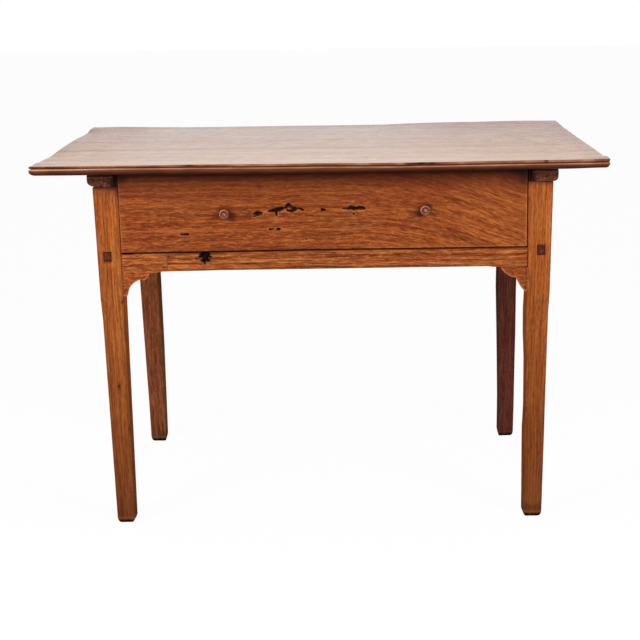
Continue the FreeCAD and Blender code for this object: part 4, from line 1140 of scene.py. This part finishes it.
def bracket(node, side, number):
    """A small shaped bracket: its sawn outline carried back from the rail's face, edges eased."""
    reach, drop, arcs = bracket_shapes[side]
    curves = [arc_through(*[(run * reach, fall * drop) for run, fall in arc]) for arc in arcs]
    for k in range(len(arcs) - 1):
        if arcs[k][-1] == arcs[k + 1][0]:
            curves[k] = curves[k][:-1]
    outline = np.concatenate([*curves, [(-1.2, drop), (-1.2, 0.1)]])
    outline = np.stack([side * (bracket_shoulder - outline[:, 0]), rail_low - outline[:, 1]], -1)
    outline = evened(outline, 1.5)
    hub = np.array([side * (bracket_shoulder - 8.0), rail_low - 8.0])
    front, back = legs_front + worn_back, legs_front + bracket_depth
    points, facing = carried_outline(outline, front, back, 1.0, hub, 2.0)
    x, y, z = split(points)
    points -= facing * (0.12 * (1 + rough(x / 7 + z / 9, y / 8, 500 + number)))[..., None]
    points[..., 1] += np.where(y < legs_front + 3, 0.25 * (1 + rough(x / 12, z / 12, 510 + number)), 0)
    points[..., 2] += lower_sag(x) * np.clip(1 - (rail_low - z) / 14, 0, 1)
    shade = {LEFT: 0.0, RIGHT: 0.3}[side]
    joint = np.exp(-np.abs(z - rail_low) / 0.9)
    rim = np.zeros_like(x)
    rim[:, 4:9] = {LEFT: 0.35, RIGHT: 0.6}[side]
    skin = Skin().grid(points, ring=True, board=number * 0.57, wear=rim * (z < rail_low - 1.5),
                       stain=spots(x, z, bracket_marks_and_shade[side]) + 0.9 * joint + shade + joint_dirt(x))
    skin.piece(node, "worn", "rail_wood", bracket_wood)


front_rail()
rail_patch()
bracket("left_bracket", LEFT, 1)
bracket("right_bracket", RIGHT, 2)


# ---------------------------------------------------------------- drawer

# Eaten places in the drawer front, each a chain of (x, z, radius)
eaten = [
    [(-131.5, 631.6, 1.8), (-125.5, 632.0, 4.6), (-117.5, 632.6, 2.2)],
    [(-132.0, 627.2, 0.9), (-129.0, 627.4, 0.9)],
    [(-104.5, 635.6, 1.2), (-94.5, 637.0, 3.2), (-84.0, 639.5, 4.0), (-77.0, 641.8, 2.6)],
    [(-89.5, 635.0, 3.2), (-88.8, 628.5, 1.2)],
    [(-72.0, 642.0, 1.8), (-66.7, 648.2, 3.2), (-58.5, 642.0, 2.4), (-54.5, 639.5, 3.6)],
    [(-69.0, 637.5, 1.6), (-60.5, 635.8, 2.6), (-54.5, 639.0, 3.0)],
    [(-51.5, 640.6, 0.9), (-45.5, 640.2, 1.1), (-41.0, 638.6, 1.9), (-38.2, 637.6, 1.2)],
    [(35.0, 639.6, 0.8), (44.0, 639.4, 1.3)],
    [(46.0, 639.4, 2.2), (51.5, 640.6, 3.4), (57.5, 639.4, 3.2), (61.5, 639.6, 2.0), (66.0, 640.2, 2.8),
     (73.5, 640.0, 3.0), (77.0, 639.4, 1.6)],
    [(56.4, 628.9, 1.2), (56.5, 628.9, 1.2)], [(-102.0, 601.5, 1.9), (-99.5, 601.5, 1.9)],
    [(-88.0, 601.5, 2.0), (-84.5, 601.5, 2.0)], [(-270.5, 594.0, 0.9), (-257.3, 594.0, 2.2)],
    [(-33.3, 581.5, 0.7), (-32.1, 581.5, 0.7)], [(-96.0, 602.6, 1.1), (-95.4, 602.6, 1.1)],
    [(-4.0, 637.5, 1.4), (1.0, 637.3, 1.7)],
]
# Dark spots, small knots and light scratches on it, with painted shade in its two upper corners and the
# knobs' painted shadows, each falling down towards the middle
drawer_spots_and_shade = [
    (-263.9, 579.7, 9, 2.4, 0.5), (-340.8, 613.2, 4, 3, 0.45), (-251.3, 594.7, 9, 1.2, 0.5),
    (-1.5, 637.3, 7.0, 4.4, 0.9), (-1.5, 637.3, 2.6, 1.8, 1.0), (382, 700, 22, 26, 1.1),
    (-120.0, 680.8, 1.8, 1.8, 0.7), (-73.2, 682.0, 1.8, 1.8, 0.7), (364.0, 565.2, 3, 2, 0.9),
    (-379.0, 702.0, 11, 9, 1.1), (-169.5, 658.1, 9, 0.9, -0.6), (179.5, 563.2, 2, 1.5, -1.0),
    (55.9, 652.9, 2, 2, -0.8), (-172.5, 625.0, 7, 6, 0.9), (180.5, 626.5, 7, 6, 0.9),
    (201.0, 643.0, 6, 4, 0.5), (60, 600, 60, 5, 0.18), (-250, 650, 60, 4, 0.2),
]


def drawer_marks_and_shade(x, z):
    """The spots, the painted shade with soiling under the top, and the darkened rings round the knobs.
    """
    total = spots(x, z, drawer_spots_and_shade) + 1.1 * smooth(z + 4 * rough(x / 30, z / 8, 604), 694, 712)
    total += 0.8 * smooth(z, 702, 711)
    for side, place in knob_places.items():
        away = np.hypot(x - place, z - knob_height[side])
        total = total + 0.8 * smooth(-away, -17, -10) * (0.7 + 0.5 * rough(x / 6, z / 6, 602))
    return total


def joined_back(mesh, node, cut):
    """Adds the node's own joined wood behind a cut to a mesh, closed where it is cut."""
    back = frame["nodes"][node].data.copy()
    work = bmesh.new()
    work.from_mesh(back)
    bmesh.ops.remove_doubles(work, verts=work.verts, dist=0.002 * MM)
    geometry = work.verts[:] + work.edges[:] + work.faces[:]
    sliced = bmesh.ops.bisect_plane(work, geom=geometry, plane_co=(0, cut, 0), plane_no=(0, 1, 0),
                                    clear_inner=True, dist=0.001 * MM)
    rims = [e for e in sliced["geom_cut"] if isinstance(e, bmesh.types.BMEdge)]
    bmesh.ops.holes_fill(work, edges=rims, sides=0)
    work.from_mesh(mesh)
    work.to_mesh(mesh)
    work.free()
    bpy.data.meshes.remove(back)


def drawer_front():
    """The drawer front: a finely divided face slab with its eaten patches sunk in, over the
    joined back half, whose sockets take the sides' tails."""
    low = (-drawer_half_low, legs_front, drawer_low)
    high = (drawer_half_low, legs_front + front_lap - 0.25, drawer_high)
    points, facing, edge, front = faced_board(low, high, 1.2, (1.55, 1.5, 6.0), 1.3)
    nicks = np.clip(rough(points[..., 0] / 6, points[..., 2] / 6, 616) - 0.3, 0, 1)
    nicks = nicks * arris_mark(points, low, high, 1.5)
    rise = (points[..., 2] - drawer_low) / (drawer_high - drawer_low)
    points[..., 2] += upper_sag(points[..., 0]) * (1 - rise)
    x, _, z = split(points)
    pit = outside_holes(x, z, eaten) - 0.55 + 1.1 * rough(x / 3.2, z / 2.6, 610)
    sunk = smooth(-pit, -0.5, 0.9)
    bridge = spots(x, z, [(-62.5, 641.5, 4.0, 2.6, 0.4), (-118, 629, 3, 2, 0.3)])
    depth = eaten_depth * sunk * (1 - np.clip(bridge, 0, 0.8))
    planed = 0.16 * (1 + rough(x / 70, z / 26, 612)) + 0.10 * np.clip(rough(x / 40, z / 2.2, 614), 0, 1)
    points[..., 1] += front * (planed + depth)
    points -= facing * (0.5 * nicks)[..., None]
    taper = (drawer_half_high - drawer_half_low) / drawer_half_low
    points[..., 0] *= 1 + taper * rise
    points[..., 0] += np.minimum(x, 0) / drawer_half_low

    rim = smooth(-np.abs(pit - 1.2), -1.6, 0) * front
    low_edge = np.exp(-rise * (drawer_high - drawer_low) / 1.5) * front
    end_edge_highlight = np.exp((np.abs(x) - drawer_half_low) / 1.3) * front
    stain = drawer_marks_and_shade(x, z) - 0.5 * rim * (0.4 + 0.6 * smooth(-z, -640, -632))
    # Painted shadow of the gap along the lower edge, on the left half.
    stain += 1.3 * low_edge * smooth(-x, -110, 0)
    bare_and_highlight = edge * np.clip(0.55 + 0.8 * rough(x / 14, z / 14, 618), 0, 1)
    bare_and_highlight = bare_and_highlight * (0.3 + 0.45 * smooth(-z, -690, -640)) + 0.5 * low_edge * smooth(x, 40, 140)
    # A painted highlight along both ends' arrises.
    bare_and_highlight += end_edge_highlight * np.where(x < 0, 0.4, 0.8) * smooth(-z, -700, -640)
    hollow = np.clip(sunk * (1 - bridge), 0, 1) * (front > 0.3)
    skin = Skin().grid(points, ring=True, board=0.3, stain=stain, hollow=hollow,
                       wear=np.clip(bare_and_highlight, 0, 1))
    mesh = skin.mesh("drawer_front_worn")
    joined_back(mesh, "drawer_front", (legs_front + front_lap - 0.3) * MM)
    set_piece("drawer_front_worn", mesh, ["drawer_front"], drawer_front_wood)


def knob(node, side, number):
    """A turned knob: its profile swung round its axis, a little out of round.

    The profile runs from the shank out along the base, round the head, over the ring groove and
    the sunk boss to the middle of the face.
    """
    rows, turns = 12, 72
    q = np.linspace(0, 1, rows)
    start = np.array([[4.5, -1.5], [4.5, 0.0]])
    neck = np.stack([6.5 - 1.5 * np.sin(q * math.pi) + 0.6 * q, 7.0 * q], -1)
    head = np.stack([7.1 + 1.65 * np.sin(q * math.pi * 0.62 + 0.02) ** 0.8, 7.0 + 7.4 * q], -1)
    ease = np.stack([head[-1, 0] - 1.2 * np.sin(q[1:] * math.pi / 2), 14.4 + 0.5 * q[1:]], -1)
    ring = np.stack([6.5 - 3.1 * q, 14.95 - 1.4 * np.sin(q * math.pi)], -1)
    boss = np.stack([3.4 - 3.4 * q, 14.5 - 0.35 * (1 - q) ** 2], -1)
    profile = np.concatenate([start, neck, head, ease, ring, boss])
    angle = np.linspace(0, 2 * math.pi, turns + 1)[:-1, None]
    oval = {LEFT: 0.015, RIGHT: 0.05}[side]
    radius, out = profile[None, :, 0], profile[None, :, 1]
    radius = radius * (1 + oval + oval * np.cos(2 * angle + 0.4) + 0.004 * np.cos(5 * angle))
    out = out - 0.12 * smooth(out, 8, 14) * (1 + np.cos(angle - 0.8 * side))
    centre_x, centre_z = knob_places[side], knob_height[side]
    points = np.stack([centre_x + radius * np.cos(angle), legs_front + worn_back - out + 0 * angle,
                       centre_z + radius * np.sin(angle)], -1)
    inner = np.broadcast_to([centre_x, legs_front + 1.75, centre_z], (turns, 1, 3))
    points = np.concatenate([inner, points], 1)

    def marked(values, before):
        """A value for each place on the profile, 0 but for the given ones."""
        after = len(profile) + 1 - before - len(values)
        return np.concatenate([np.zeros(before), values, np.zeros(after)])

    to_head, to_ring = 1 + len(start) + rows, len(start) + 3 * rows
    groove = marked(np.sin(q * math.pi), to_ring)
    rim = marked(np.concatenate([hump(q, 1, 0.25), 1 - 0.6 * q[1:]]), to_head)
    # Painted light from the upper left: the head's rim is paled there as a painted highlight and
    # darkened on the lower right as painted shade, and the ring groove is darkened as painted shade,
    # deepest towards the top.
    lit_upper_left = 0.5 + 0.5 * np.cos(angle - 0.75 * math.pi)
    across = (points[..., 0] - centre_x + points[..., 2] - centre_z) / math.sqrt(2)
    streak = hump(across, 0.6, 1.1) * marked(np.ones(rows), to_ring + rows)
    stain = groove * (0.6 + 0.45 * np.cos(angle - 0.6 * math.pi)) + 0.7 * rim * (1 - lit_upper_left)
    skin = Skin().grid(points, ring=True, board=number * 0.31,
                       wear=0.95 * rim * lit_upper_left ** 2 + 0.6 * streak, stain=stain)
    skin.piece(node, "turned", "knob_wood", knob_wood, crease=60)


def eased_copy(node, width=0.6):
    """A joined inner piece, arrises eased: the node's faces merged flat, then a small bevel."""
    mesh = frame["nodes"][node].data.copy()
    mesh.name = node + "_eased"
    tidy_mesh(mesh)
    work = bmesh.new()
    work.from_mesh(mesh)
    bmesh.ops.dissolve_limit(work, angle_limit=math.radians(1), verts=work.verts, edges=work.edges)
    work.to_mesh(mesh)
    work.free()
    piece = set_piece(node + "_eased", mesh, [node], inner_wood)
    bevel = piece.modifiers.new("eased", "BEVEL")
    bevel.width = width * MM
    bevel.segments = 2
    bevel.limit_method = "ANGLE"
    bevel.angle_limit = math.radians(40)


drawer_front()
knob("left_knob", LEFT, 1)
knob("right_knob", RIGHT, 2)
for side in ("left_", "right_"):
    for part in ("drawer_side", "runner", "guide", "kicker", "drawer_stop"):
        eased_copy(side + part)
eased_copy("drawer_back")
eased_copy("drawer_bottom", 0.4)

small_parts = {
    peg_wood: ("seam_dowels", "side_apron_pegs", "rear_apron_pegs", "leg_tenon_pegs", "top_dowels"),
    nail_iron: ("bracket_nails", "guide_nails", "kicker_nails", "drawer_bottom_nails"),
}
for finish, nodes in small_parts.items():
    for node in nodes:
        frame["nodes"][node].data.materials.clear()
        frame["nodes"][node].data.materials.append(finish)


# ---------------------------------------------------------------- studio

white = (1.0, 1.0, 1.0, 1.0)
floor_bounce, floor_glow, room_fill = 0.42, 0.96, 0.36


def studio_floor():
    """A plain pale floor that shows white and keeps the table's soft shadow."""
    bpy.ops.mesh.primitive_plane_add(size=30, location=(0, 0, 0))
    floor = bpy.context.active_object
    floor.name = "studio_floor"
    f = Finish("studio_floor_white")
    lit = f.node("ShaderNodeLightPath").outputs["Is Diffuse Ray"]
    f.shape(Base_Color=f.mix(lit, white, (floor_bounce, floor_bounce, floor_bounce, 1)), Roughness=0.9,
            Specular_IOR_Level=0.0)
    glow = f.node("ShaderNodeEmission", {"Color": white, "Strength": 1.0})
    blend = f.node("ShaderNodeMixShader", {0: f.math("MULTIPLY", f.seen(), floor_glow),
                                           1: f.shader.outputs[0], 2: glow.outputs[0]})
    f.feed(f.tree.nodes["Material Output"].inputs["Surface"], blend.outputs[0])
    floor.data.materials.append(f.material)


def studio_world():
    """White all round where it is seen or mirrored, and a soft even fill elsewhere."""
    world = bpy.data.worlds.new("studio_world")
    bpy.context.scene.world = world
    wiring = Wiring(world)
    background = wiring.tree.nodes["Background"]
    wiring.feed(background.inputs["Color"], white)
    wiring.feed(background.inputs["Strength"], wiring.between(wiring.seen(), 0.0, 1.0, room_fill, 1.0))


def soft_light(name, place, aim, power, width, depth):
    """A soft rectangular light that faces a point."""
    data = bpy.data.lights.new(name, "AREA")
    data.energy = power
    data.shape = "RECTANGLE"
    data.size = width
    data.size_y = depth
    light = bpy.data.objects.new(name, data)
    light.location = place
    light.rotation_mode = "QUATERNION"
    light.rotation_quaternion = (Vector(aim) - Vector(place)).to_track_quat("-Z", "Y")
    bpy.context.scene.collection.objects.link(light)


def studio_camera():
    """The camera: a little left of the middle, looking down on the front."""
    place, yaw, pitch, roll = (0.04466, -2.45968, 1.07045), -0.508, 16.581, -0.692
    data = bpy.data.cameras.new("studio_camera")
    data.lens = 67.82
    data.sensor_width = 36.0
    data.shift_x = -0.0590
    data.shift_y = 0.0128
    yaw, pitch, roll = (math.radians(angle) for angle in (yaw, pitch, roll))
    forward = Vector((-math.sin(yaw) * math.cos(pitch), math.cos(yaw) * math.cos(pitch),
                      -math.sin(pitch)))
    level = Vector((math.cos(yaw), math.sin(yaw), 0))
    upright = level.cross(forward)
    right = math.cos(roll) * level + math.sin(roll) * upright
    up = math.cos(roll) * upright - math.sin(roll) * level
    turn = Matrix((right, up, -forward)).transposed().to_4x4()
    camera = bpy.data.objects.new("studio_camera", data)
    camera.matrix_world = Matrix.Translation(place) @ turn
    bpy.context.scene.collection.objects.link(camera)
    bpy.context.scene.camera = camera


studio_floor()
studio_world()
for side, word in ((LEFT, "left"), (RIGHT, "right")):
    soft_light(word + "_soft_light", (side * 1.87, -1.83, 1.42), (0, 0, 0.5), 40, 0.7, 0.7)
soft_light("top_soft_light", (0, -0.5, 1.5), (0, -0.45, 0.7), 2.5, 1.0, 0.4)
studio_camera()
bpy.context.scene.view_settings.view_transform = "Standard"
